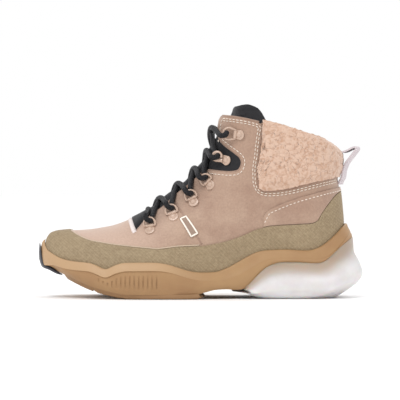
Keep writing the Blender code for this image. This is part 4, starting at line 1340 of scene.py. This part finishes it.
# %% Fleece panel
def curls(here):
    """Height of the pile's lumps, 0 in a crevice to 1 on a curl."""
    bent = here + noise.noise_vector(here * 260) * 0.0012
    near = noise.voronoi(bent * 270)[0][0]
    return max(1 - 2.2 * near * near, 0.0)


def fleece_high(along):
    return min(edge_z(along) / COLLAR_HEIGHT + FLEECE_RISE, smooth(FLEECE_SIDE, along)) * COLLAR_HEIGHT


def fleece_out(side, along, here):
    """The panel swells from its sewn edges and carries its curls."""
    up = (here.z - smooth(FLEECE_LOW, along) * COLLAR_HEIGHT) / 0.010
    down = (fleece_high(along) - here.z) / 0.006
    edge = smooth([(high, at) for at, high in FLEECE_SIDE], here.z / COLLAR_HEIGHT)
    front = (along - edge) * LAST_LENGTH / 0.008
    swell = ease(0.0, 1.0, min(up, down, front))
    lump = curls(here)
    return FIT - 0.0016 + 0.0024 * swell + 0.0009 * lump * (0.4 + 0.6 * swell)


mesh = sheet_mesh("collar_fleece_pile", fine_columns(FLEECE_FRONT, spacing=0.0042),
                  (line(FLEECE_LOW), fleece_high), (84,), fleece_out)
fleece = add_object("collar_fleece_pile", mesh, (FLEECE,), ("collar_fleece",))
thicken(fleece, FLEECE_THICKNESS, True)

# %% Stretch panels and tongue
def panel_low(along):
    return 0.66 * COLLAR_HEIGHT


def panel_high(along):
    return min(smooth(EDGE, along), 0.90) * COLLAR_HEIGHT - FIT


panel_columns = [0.545 + 0.125 * n / 60 for n in range(61)]
for word, side in (("lateral", LATERAL), ("medial", MEDIAL)):
    mesh = sheet_mesh(f"stretch_panel_{word}", panel_columns, (panel_low, panel_high), (40,),
                      -PANEL_SINK, keep=side)
    panel = add_object(f"stretch_panel_{word}", mesh, (STRETCH,), (f"flex_panel_{word}",))
    settle(thicken(panel, PANEL_THICKNESS, False))
    cut(panel, side_prism("panel_outline", rounded(notch_outline(1.5 * FIT))), "INTERSECT")


def tongue_out(side, along, here):
    """It leans back at its end, and its padding swells between the sewn edge and channels."""
    lean = ease(TONGUE_LEAN_START, 1.02, here.z / COLLAR_HEIGHT)
    channels = abs(math.sin(math.pi * here.z / 0.021)) ** 0.5
    edge = ease(0.0, 0.006, abs(here.z - smooth(TONGUE_TOP, along) * COLLAR_HEIGHT))
    puff = 0.0009 * channels * edge - 0.0006
    open_ = 0.0040 * ease(0.0, 0.007, here.z - edge_z(along)) * (1 - lean)
    return -(WALL + TONGUE_FIT) - TONGUE_LEAN * lean + puff + open_


def tongue_high(along):
    return min(smooth(TONGUE_TOP, along) * COLLAR_HEIGHT, ridge_z(along))


mesh = sheet_mesh("tongue_padded", fine_columns(TONGUE_FRONT, TONGUE_BACK, 0.010),
                  (line(TONGUE_LOW), tongue_high), (60,), tongue_out)
tongue = add_object("tongue_padded", mesh, (TONGUE,), ("tongue",))
round_edges(thicken(tongue, TONGUE_THICKNESS, False, even=False), 0.0008, 2)


# %% [markdown]
# Seams. A line on the leather is a list of places, each a share along and up; it is smoothed, then
# carries a rolled edge, a fold or a row of stitches.

# %% Seam tools
def on_leather(side, spots, count=8, out=0.0):
    """Points and normals on the leather along a line of places."""
    flat = curved([Vector((along, high, 0)) for along, high in spots], count)
    points, normals = [], []
    for spot in flat:
        z = spot.y * COLLAR_HEIGHT
        here = skin_at(side, spot.x, z)
        stand = relief(side, spot.x, here)
        points.append(skin_at(side, spot.x, z, stand + out))
        normals.append((skin_at(side, spot.x, z, stand + out + 0.001) - points[-1]).normalized())
    return points, normals


def evenly(points, normals, pitch):
    """Points at an even pitch along a line, each with its direction and normal."""
    made, run = [], 0.0
    for a, b, up in zip(points, points[1:], normals):
        gap = (b - a).length
        while run < gap:
            made.append((a + (b - a) * (run / gap), (b - a).normalized(), up))
            run += pitch
        run -= gap
    return made


def stitch_rows(name, rows, pitch=0.0036, length=0.0021, radius=0.00042):
    """Stitches of one thread as a joined mesh: short rods with sunk ends."""
    shape = bmesh.new()
    for points, normals in rows:
        for here, along, up in evenly(points, normals, pitch):
            bend = [here - along * length / 2 - up * 0.0003, here - along * length * 0.3 + up * 0.0004,
                    here + along * length * 0.3 + up * 0.0004, here + along * length / 2 - up * 0.0003]
            tube_into(shape, bend, radius, sides=5, normals=[up] * 4)
    return add_object(name, from_bmesh(name, shape), (THREAD,))


def fold_rows(name, rows, radius, material, flat=0.6):
    """Rolled edges and folds as flattened tubes half sunk in the leather."""
    shape = bmesh.new()
    for points, normals in rows:
        tube_into(shape, points, radius, sides=10, normals=normals, flat=flat)
    return add_object(name, from_bmesh(name, shape), (material,))


def shifted(spots, inward):
    """A line of places moved sideways by millimetres, to the left of its direction."""
    made = []
    for n, (along, high) in enumerate(spots):
        a = spots[max(n - 1, 0)]
        b = spots[min(n + 1, len(spots) - 1)]
        way = Vector(((b[0] - a[0]) * LAST_LENGTH, (b[1] - a[1]) * COLLAR_HEIGHT)).normalized()
        made.append((along - way.y * inward / 1000 / LAST_LENGTH, high + way.x * inward / 1000 / COLLAR_HEIGHT))
    return made


def both(spots, count=8, out=0.0):
    return [on_leather(side, spots, count, out) for side in (LATERAL, MEDIAL)]


# %% Seams
QUARTER_SEAM = ((0.4335, 0.553), (0.446, 0.510), (0.466, 0.455), (0.487, 0.400), (0.512, 0.340), (0.530, 0.300))
NOTCH_LINE = [(a / smooth(HEEL_BACK, h), h) for a, h in NOTCH[1:-1]]
COLLAR_FRONT = [(a, h) for a, h in EDGE if 0.587 <= a <= 0.619]
COLLAR_TOP = [(0.619, 0.998), (0.657, 0.991), (0.700, 0.979), (0.745, 0.962)]
FLEECE_EDGE = [(0.756, 0.960), (0.7545, 0.930), (0.7475, 0.894), (0.7340, 0.815), (0.7240, 0.740),
               (0.7225, 0.670), (0.7235, 0.620), (0.730, 0.598), (0.745, 0.588), (0.790, 0.590),
               (0.840, 0.604), (0.900, 0.628), (0.960, 0.650), (0.990, 0.660)]
FLAP_LINE = [(0.628, 0.996), (0.660, 0.990), (0.700, 0.980), (0.735, 0.966), (0.750, 0.950)] + FLEECE_EDGE[1:]
COUNTER_LINE = [(a, h) for a, h in COUNTER_TOP]
RAND_LINE = [(a, h + 0.006) for a, h in RAND_TOP if 0.086 <= a <= 0.521]

fold_rows("quarter_fold", both(QUARTER_SEAM, out=-0.0001), 0.0010, EDGE_PAINT, 0.55)
fold_rows("notch_edge", both(NOTCH_LINE, out=-0.0006), 0.0009, EDGE_PAINT, 0.9)
fold_rows("collar_edge", both(COLLAR_TOP, out=-0.0010), 0.0013, EDGE_PAINT, 0.9)
fold_rows("fleece_seam", both(FLEECE_EDGE, out=-0.0002), 0.0010, EDGE_PAINT, 0.6)
# a rolled edge along the rand's top, coloured cream as a painted highlight
fold_rows("rand_edge_painted_highlight", both(RAND_LINE, out=0.0004), 0.0007, PAINTED_EDGE_HIGHLIGHT, 0.8)
throat = [(a, h) for a, h in EDGE if 0.303 <= a <= 0.545]
fold_rows("throat_edge", both(throat, out=-0.0010), 0.0013, EDGE_PAINT, 0.9)
vamp_edge = [(a, h) for a, h in EDGE if a <= 0.303]
fold_rows("vamp_binding", both(vamp_edge, out=-0.0008), 0.0022, BINDING, 0.75)

rows = both(shifted(FLAP_LINE, -2.0)) + both(shifted(FLAP_LINE, -4.0))
rows += both(shifted(COLLAR_FRONT, -3.0)) + both(shifted(NOTCH_LINE, -3.0))
rows += both(shifted(COUNTER_LINE, -3.0), out=COUNTER_THICKNESS)
stitch_rows("stitches", rows)

# %% [markdown]
# Hardware and lacing. Every ring is drawn once in its own frame: X across, Y towards the throat, Z out
# of the leather. One lace runs from the top ring down to the bar over the vamp and back up.

# %% Rings and hooks
FAR = 2 * RING_RADIUS * math.cos(math.radians(RING_TILT))
TOP = RING_FOOT + 2 * RING_RADIUS * math.sin(math.radians(RING_TILT))


SEEN_RADIUS = PLATE_RADIUS + 0.0005     # the plates' rolled edges stand round the frame's plates
LONG_RING = 0.0036                      # how far the top ring's plate is set back


def plate_into(shape, radius, neck, height, back=0.0):
    """A plate, round below and narrower towards the throat, with a domed rivet, set back if asked."""
    turns = [math.radians(200 + 140 * n / 14) for n in range(15)]
    outline = [(radius * math.cos(t), radius * math.sin(t) - back) for t in turns]
    outline += [(neck, height - back), (-neck, height - back)]
    ring = [shape.verts.new((x, y, 0)) for x, y in outline]
    drawn = bmesh.ops.extrude_face_region(shape, geom=[shape.faces.new(ring)])
    top = [item for item in drawn["geom"] if isinstance(item, bmesh.types.BMVert)]
    bmesh.ops.translate(shape, verts=top, vec=(0, 0, PLATE_THICKNESS))
    rim = [e for e in shape.edges if all(v in top for v in e.verts)]
    bmesh.ops.bevel(shape, geom=rim, offset=0.0004, segments=3, affect="EDGES", profile=0.5)
    for wide, tall in ((0.0034, 0.0005), (0.0027, 0.0017)):
        dome = Matrix.Translation((0, -back, PLATE_THICKNESS)) @ Matrix.Diagonal((wide, wide, tall, 1))
        bmesh.ops.create_uvsphere(shape, u_segments=20, v_segments=10, radius=1.0, matrix=dome)


def dring_shape(back=0.0):
    """A riveted plate folded over the straight side of a wire D; a long D has its plate set back."""
    shape = bmesh.new()
    plate_into(shape, SEEN_RADIUS, 0.0038, 0.0036, back)
    bar_y, bar_z = 0.0034 - back, RING_FOOT
    rise = math.atan2(TOP - bar_z, FAR - bar_y)
    stretch = math.hypot(TOP - bar_z, FAR - bar_y) / (2 * RING_RADIUS - bar_y)
    route = []
    for n in range(19):
        turn = math.radians(-20 + 220 * n / 18)
        x, y = RING_RADIUS * math.cos(turn), RING_RADIUS * (1 + math.sin(turn)) - bar_y
        route.append((x, y * stretch))
    route += [(-0.0040, 0.0), (0.0, 0.0), (0.0040, 0.0)]
    wire = [Vector((x, bar_y + y * math.cos(rise), bar_z + y * math.sin(rise))) for x, y in route]
    tube_into(shape, wire, RING_WIRE / 2, sides=10, closed=True)
    roll = [Vector((x, bar_y, bar_z)) for x in (-0.0033, -0.0031, 0.0, 0.0031, 0.0033)]
    tube_into(shape, roll, 0.00155, sides=14)
    return shape


def hook_shape():
    """A riveted tab whose end is a thick open loop for the lace."""
    shape = bmesh.new()
    plate_into(shape, SEEN_RADIUS, 0.0034, 0.0042)
    rise = math.radians(RING_TILT)
    middle = 0.0082
    route = [Vector((-0.0012, 0.0022, 0.0)), Vector((-0.0022, 0.0044, 0.0))]
    for n in range(15):
        turn = math.radians(215 - 300 * n / 14)
        route.append(Vector((0.0033 * math.cos(turn), middle + 0.0034 * math.sin(turn), 0.0)))
    wire = [Vector((p.x, p.y * math.cos(rise), 0.0012 + p.y * math.sin(rise))) for p in route]
    tube_into(shape, curved(wire, 3), 0.0018, sides=12, flat=0.8)
    return shape


def set_out(name, shape, rings, lift, nodes):
    """Copies of a shape at its rings on both sides, as one mesh."""
    base = from_bmesh(name + "_one", shape)
    made = bmesh.new()
    for side in (LATERAL, MEDIAL):
        for _, along, height, lean in rings:
            first = len(made.verts)
            made.from_mesh(base)
            made.verts.ensure_lookup_table()
            spot = ring_frame(side, along, height, lean, lift)
            bmesh.ops.transform(made, matrix=spot, verts=made.verts[first:])
    bpy.data.meshes.remove(base)
    mesh = from_bmesh(name, made)
    mesh.shade_smooth()
    mesh.set_sharp_from_angle(angle=math.radians(45))
    return add_object(name, mesh, (METAL,), nodes)


for word, shape, rings, lift in (("rings", dring_shape(), RINGS[:4], RING_LIFT - 0.0006),
                                 ("hooks", hook_shape(), RINGS[4:5], HOOK_LIFT),
                                 ("top_rings", dring_shape(LONG_RING), RINGS[5:], RING_LIFT - 0.0006)):
    names = [f"{ring[0]}_{side}" for ring in rings for side in ("lateral", "medial")]
    set_out(f"lace_{word}", shape, rings, lift, names)


# %% Lace
def in_ring(n, side, aside, y, z):
    """A spot by the far end of a ring, in millimetres from its wire."""
    _, along, height, lean = RINGS[n]
    spot = ring_frame(side, along, height, lean, RING_LIFT)
    x = -side * aside * (LACE_DIAMETER + FIT) / 2
    return spot @ Vector((x, FAR + y / 1000, TOP + z / 1000))


def through(n, side):
    """Over the wire, down into the ring and back out below it."""
    route = ((-1.0, 1.8, 2.1), (-0.95, -1.2, 2.4), (-0.5, -3.0, 0.9), (0.45, -3.1, -1.5), (0.95, -1.0, -3.0),
             (1.0, 2.2, -2.8))
    return [in_ring(n, side, *spot) for spot in route]


def strand(low, side, high, first, last, aside, lift):
    """The lace's middle points from one side's ring over the tongue to the other side's."""
    _, first_share, first_angle = lace_end(RINGS[low], side, aside)
    _, last_share, last_angle = lace_end(RINGS[high], -side, -1)
    rise, fall = math.pi / 2 - first_angle, math.pi / 2 - last_angle

    sag = TOP_SAG if high == len(RINGS) - 1 else 0.0

    def on_skin(turned):
        part = turned / (rise + fall)
        share = first_share + (last_share - first_share) * part - sag * math.sin(math.pi * part)
        if turned < rise:
            return skin(side, share, first_angle + turned, lift)
        return skin(-side, share, math.pi / 2 - (turned - rise), lift)

    points = []
    for n in range(1, 8):
        part = n / 4 - 1
        turned = rise + part * (rise if part < 0 else fall)
        end, start_turn = (first, 0.0) if part < 0 else (last, rise + fall)
        points.append(on_skin(turned) + (end - on_skin(start_turn)) * abs(part) ** 3)
    return points


LOW_STRAND, HIGH_STRAND = 0.0004, 0.0026    # out from the form, where two strands cross
TOP_SAG = 0.011             # the highest crossing sags forward, share of LAST_LENGTH
CORD = 0.0048               # the lace as it looks, plump between the rings


def up_to(low, side, aside=1):
    """The strand that leaves a ring upwards, or the bar between the first two rings."""
    high = low if aside < 0 else low + 1
    first = through(low, side)[0 if aside < 0 else -1]
    last = through(high, -side)[0]
    lift = HIGH_STRAND if side == MEDIAL else LOW_STRAND
    if aside < 0:
        lift = 0.0004
    return strand(low, side, high, first, last, aside, lift)


def lace_path():
    """The whole lace, from one top ring down to the bar and back up to the other top ring."""
    halves = []
    for side in (LATERAL, MEDIAL):
        run, at = [], side
        for n in range(len(RINGS)):
            turns = through(n, at)
            run += turns if n < len(RINGS) - 1 else turns[:4]
            if n < len(RINGS) - 1:
                run += up_to(n, at)
            at = -at
        halves.append(run)
    return halves[0][::-1] + up_to(0, LATERAL, -1) + halves[1]


shape = bmesh.new()
tube_into(shape, curved(lace_path(), 5), CORD / 2, sides=12)
names = ["lace_bar_1"] + [f"lace_cross_{n}" for n in range(1, len(RINGS))]
add_object("lace", from_bmesh("lace", shape), (LACE,), names)


# %% Side label, left bare
CORNERS = ((0.452, 0.436), (0.474, 0.453), (0.516, 0.356), (0.491, 0.334))


def label_spot(u, v, out):
    """A point on the label, by its share across and down."""
    spot = [(1 - v) * ((1 - u) * a + u * b) + v * ((1 - u) * d + u * c) for a, b, c, d in zip(*CORNERS)]
    return skin_at(LATERAL, spot[0], spot[1] * COLLAR_HEIGHT, out)


across, down = 6, 16
points = [label_spot(i / across, j / down, 0.0006) for j in range(down + 1) for i in range(across + 1)]
faces = []
for j in range(down):
    for i in range(across):
        a = j * (across + 1) + i
        faces.append((a, a + across + 1, a + across + 2, a + 1))
uvs = [(p.x, p.z) for p in points]
label = add_object("side_label_field", finish_mesh("side_label_field", points, faces, uvs), (LABEL_FIELD,),
                   ("side_label",))
thicken(label, 0.0006, True)
border = []
for a, b in (((0, 0), (1, 0)), ((1, 0), (1, 1)), ((1, 1), (0, 1)), ((0, 1), (0, 0))):
    steps = 4 if a[1] == b[1] else 12
    for n in range(steps):
        u, v = (a[k] + (b[k] - a[k]) * n / steps for k in (0, 1))
        border.append((0.09 + 0.82 * u, 0.035 + 0.93 * v))
shape = bmesh.new()
rim = [label_spot(u, v, 0.0012) for u, v in border]
ups = [(label_spot(u, v, 0.0022) - p).normalized() for (u, v), p in zip(border, rim)]
tube_into(shape, rim, 0.00075, sides=8, closed=True, normals=ups, flat=0.8)
add_object("side_label_frame", from_bmesh("side_label_frame", shape), (FRAME_RUBBER,))


# %% Pull loop
LOOP = (
    # along as share of LAST_LENGTH, height as share of COLLAR_HEIGHT
    (0.9955, 0.622), (0.9990, 0.640), (1.0060, 0.660), (1.0100, 0.700), (1.0200, 0.740), (1.0360, 0.775),
    (1.0490, 0.803), (1.0540, 0.817), (1.0500, 0.827), (1.0410, 0.823), (1.0280, 0.812), (1.0150, 0.803),
    (1.0070, 0.800),
)
LOOP_TURN = 0.3             # how far the soft tape is turned towards the viewer, from its edges
route = curved([Vector((TOE_X + a * LAST_LENGTH, 0, h * COLLAR_HEIGHT)) for a, h in LOOP], 6)
points, faces, uvs, run = [], [], [], 0.0
for n, here in enumerate(route):
    run += (here - route[n - 1]).length if n else 0.0
    for k in range(9):
        y = TAPE_WIDTH * (k / 8 - 0.5)
        points.append(here + Vector((y * LOOP_TURN, y, 0)))
        uvs.append((y, run))
for n in range(len(route) - 1):
    for k in range(8):
        a = n * 9 + k
        faces.append((a, a + 1, a + 10, a + 9))
loop = add_object("pull_loop_webbing", finish_mesh("pull_loop_webbing", points, faces, uvs),
                  (WEB_OUT, WEB_IN), ("pull_loop",))
thicken(loop, TAPE_THICKNESS, True, inner=1).modifiers["wall"].offset = 0.0
round_edges(loop, 0.0004)

# %% [markdown]
# The sole. The same rails as the frame, with many more sections, rounded by subdivision where its
# edges are moulded soft.

# %% Sole tools
def rounded_solid(name, columns, rails, creases, levels=2, open_front=False, heights=None):
    """A ladder solid under subdivision; a crease, 0 to 1, holds a rail's edge.

    Heights are the rails' shares up the solid, which take the UV map's second place.
    """
    mesh = ladder_mesh(name, columns, rails, open_front)
    # each vertex is told its rail again by its nearest rail point
    rail_of = {}
    for k, rail in enumerate(rails):
        for side in (LATERAL, MEDIAL):
            for along in columns:
                point = rail(side, along)
                rail_of[tuple(round(v * 1e7) for v in point)] = k
    found = [rail_of.get(tuple(round(v * 1e7) for v in vertex.co), -1) for vertex in mesh.vertices]
    crease = mesh.attributes.new("crease_edge", "FLOAT", "EDGE")
    for edge in mesh.edges:
        a, b = (found[v] for v in edge.vertices)
        crease.data[edge.index].value = creases.get(a, 0.0) if a == b else 0.0
    if open_front:
        front = {v.index for v in mesh.vertices if abs(v.co.x - min(p.co.x for p in mesh.vertices)) < 0.004}
        for edge in mesh.edges:
            if all(v in front for v in edge.vertices):
                crease.data[edge.index].value = 1.0
    if heights:
        for loop in mesh.loops:
            uv = mesh.uv_layers["surface"].data[loop.index].uv
            uv.y = heights[found[loop.vertex_index]]
    mesh.set_sharp_from_angle(angle=math.radians(180))
    return mesh, levels


def subdivided(thing, levels):
    smooth_mod = thing.modifiers.new("subdivision", "SUBSURF")
    smooth_mod.levels = smooth_mod.render_levels = levels
    return settle(thing)


def boxes_mesh(name, boxes):
    """Boxes in one mesh, each given by its middle, size and turn about Z."""
    shape = bmesh.new()
    for middle, size, turn in boxes:
        spot = Matrix.Translation(middle) @ Matrix.Rotation(turn, 4, "Z") @ Matrix.Diagonal((*size, 1))
        bmesh.ops.create_cube(shape, size=1.0, matrix=spot)
    return from_bmesh(name, shape)


def sole_columns(first=0.0, last=1.0):
    return fine_columns(first, last, 0.030)


# %% Sole
rails = [cup_floor, cup_wall(0.3), cup_wall(0.65), cup_wall(1.0), lip_outer, *FOAM_WALL, foam_core]
creases = {0: 0.9, 3: 0.6, 4: 0.35, 6: 0.8, 7: 0.8, 10: 1.0, 11: 1.0}
mesh, levels = rounded_solid("midsole_foam", sole_columns(), rails, creases,
                             heights=[1.0] * 7 + [0.0] * 5)
foam = add_object("midsole_foam", mesh, (FOAM,), ("midsole",))
subdivided(foam, levels)
cut(foam, boxes_mesh("ribs", rib_boxes()))
foam.data.set_sharp_from_angle(angle=math.radians(40))

rails = [
    outside(foam_core),
    outside(foam_edge),
    sole_rail(FOAM_FRONT, 0.966, -0.0004, heel_z(0.90)),
    sole_rail(FOAM_FRONT, 0.967, 0.0006, heel_z(0.73)),
    sole_rail(FOAM_FRONT, 0.972, -0.0006, heel_z(0.69)),
    sole_rail(FOAM_FRONT, 1.000, 0.0026, heel_z(0.38)),
    sole_rail(FOAM_FRONT, 0.990, 0.0020, heel_z(0.22)),
    sole_rail(FOAM_FRONT, 0.950, -0.0008, heel_z(0.07)),
    sole_rail(FOAM_FRONT, 0.912, -0.0050, heel_z(0.0)),
]
creases = {0: 0.9, 1: 0.8, 8: 0.8}
mesh, levels = rounded_solid("heel_unit_clear", sole_columns(HEEL_START), rails, creases, open_front=True,
                             heights=(1.0, 1.0, 0.90, 0.73, 0.69, 0.38, 0.22, 0.07, 0.0))
heel = add_object("heel_unit_clear", mesh, (CLEAR,), ("heel_unit",))
subdivided(heel, levels)
cut(heel, boxes_mesh("heel_grooves", lug_boxes(0.70, 0.88, heel_ground, 0.60)))
heel.data.set_sharp_from_angle(angle=math.radians(40))

front, back = 0.084, 0.962
rails = [
    sole_rail(front, 0.930, -CORE_INSET, lambda along, share: foam_bottom(share) + FIT),
    sole_rail(front - 0.006, back, -0.0024, lambda along, share: foam_bottom(share) + FIT),
    sole_rail(front + 0.002, back, -0.0026, lambda along, share: ground_z(share) + 0.0014),
    sole_rail(front + 0.008, back, -0.0040, lambda along, share: ground_z(share)),
]
pad_end = (PAD_END - front) / (back - front)
mesh, levels = rounded_solid("outsole_tread", stations(0.0, pad_end, spacing=0.03), rails,
                             {0: 1.0, 1: 1.0, 2: 0.5, 3: 0.8}, 1)
tread = add_object("outsole_tread", mesh, (TREAD,), ("outsole_forefoot",))
subdivided(tread, levels)
cut(tread, boxes_mesh("forefoot_grooves", lug_boxes(0.16, 0.49, ground_z, 0.72)))
tread.data.set_sharp_from_angle(angle=math.radians(40))

# %% Toe bumper
BUMPER_RAILS = (
    # share of the bumper's width, share of its thickness, from its top edge down and under the nose
    (0.15, 0.30),
    (0.35, 0.60),
    (0.75, 0.90),
    (1.00, 1.00),
    (1.00, 0.90),
    (1.00, 0.50),
)


BUMPER_SEAT = 0.0004        # its inner face, out from the straight lines between the foam's rails


def bumper_mesh(near):
    """A pad round the nose on the foam, thin at its edges and narrower at its top."""
    rails = FOAM_WALL[:2] + FOAM_WALL[3:] + [foam_core]
    wide = 2 * len(near) - 1
    points, faces = [], []
    for rail, (width, _) in zip(rails, BUMPER_RAILS):
        points += [rail(LATERAL, c * width) for c in reversed(near)] + [rail(MEDIAL, c * width) for c in near[1:]]
    for k in range(len(rails) - 1):
        for i in range(wide - 1):
            a = k * wide + i
            faces.append((a, a + wide, a + wide + 1, a + 1))
    guide = bmesh.new()
    spots = [guide.verts.new(p) for p in points]
    for face in faces:
        guide.faces.new([spots[v] for v in face])
    guide.normal_update()
    way = -1 if sum(v.normal.x for v in spots) > 0 else 1
    inner = [v.co + v.normal * way * BUMPER_SEAT for v in spots]
    outer = [p + v.normal * way * BUMPER_THICKNESS * BUMPER_RAILS[n // wide][1]
             for n, (p, v) in enumerate(zip(inner, spots))]
    guide.free()
    count = len(points)
    rim = list(range(wide)) + [k * wide + wide - 1 for k in range(1, len(rails))]
    rim += [(len(rails) - 1) * wide + i for i in range(wide - 2, -1, -1)]
    rim += [k * wide for k in range(len(rails) - 2, 0, -1)]
    closed = list(faces) + [tuple(v + count for v in face[::-1]) for face in faces]
    closed += [(a, b, b + count, a + count) for a, b in zip(rim, rim[1:] + rim[:1])]
    return inner + outer, closed


points, faces = bumper_mesh([0.0300 * (n / 8) ** 2 for n in range(9)])
mesh = finish_mesh("toe_bumper_rubber", points, faces, [(p.y, p.z) for p in points], 60)
bumper = add_object("toe_bumper_rubber", mesh, (TOE_RUBBER,), ("toe_bumper",))
subdivided(bumper, 1)
bumper.data.set_sharp_from_angle(angle=math.radians(70))


def insole_rail(lift):
    def at(side, along):
        point = skin_at(side, along, floor_z(along) + max(lift, 0.0), -(WALL + 5 * FIT))
        point.z = floor_z(along) + lift
        return point
    return at


mesh = ladder_mesh("footbed_cloth", stations(0.0, 1.0, spacing=0.02), [insole_rail(-FIT), insole_rail(INSOLE_THICKNESS)])
footbed = add_object("footbed_cloth", mesh, (FOOTBED,), ("insole",))
round_edges(footbed, 0.0008, 3)

# %% [markdown]
# The stage: a pale floor and soft light, and a long lens low on the outer side.

# %% Floor, light and camera
def plain(name, code, roughness):
    made, tree, shader = start_material(name, Roughness=roughness)
    tone = ramp(tree, grain(tree, 300, 2.0), (0.3, code), (0.7, code))
    tree.links.new(tone, shader.inputs["Base Color"])
    return made


shape = bmesh.new()
bmesh.ops.create_grid(shape, x_segments=4, y_segments=4, size=6.0)
floor = bpy.data.objects.new("floor", from_bmesh("floor", shape))
bpy.context.scene.collection.objects.link(floor)
floor.data.materials.append(plain("floor_white", "#FFFFFF", 0.9))

world = bpy.data.worlds.new("studio")
world.use_nodes = True
world.node_tree.nodes["Background"].inputs["Color"].default_value = linear("#FFFFFF")
world.node_tree.nodes["Background"].inputs["Strength"].default_value = 1.0
bpy.context.scene.world = world
bpy.context.scene.view_settings.view_transform = "Standard"


def area_light(name, where, aim, size, power):
    lamp = bpy.data.lights.new(name, "AREA")
    lamp.shape, lamp.size, lamp.energy = "SQUARE", size, power
    made = bpy.data.objects.new(name, lamp)
    bpy.context.scene.collection.objects.link(made)
    made.location = where
    made.rotation_euler = (Vector(aim) - Vector(where)).to_track_quat("-Z", "Y").to_euler()


area_light("key", (-0.7, -1.2, 1.9), (0, 0, 0.08), 0.8, 16)
area_light("rim", (0.8, 1.4, 1.3), (0, 0, 0.1), 0.9, 7)

PIXEL = 0.0009              # one pixel of the photograph's 400, in metres
AIM = Vector(((200 - 200.85) * PIXEL, 0.0, (297 - 200) * PIXEL))
DISTANCE, ELEVATION = 2.8, math.radians(1.0)
camera = bpy.data.objects.new("camera", bpy.data.cameras.new("camera"))
bpy.context.scene.collection.objects.link(camera)
camera.location = AIM + Vector((0, -math.cos(ELEVATION), math.sin(ELEVATION))) * DISTANCE
camera.rotation_euler = (AIM - camera.location).to_track_quat("-Z", "Y").to_euler()
camera.data.lens = 36 * DISTANCE / (400 * PIXEL)
camera.data.clip_end = 30
bpy.context.scene.camera = camera

# %% Update the view layer
bpy.context.view_layer.update()
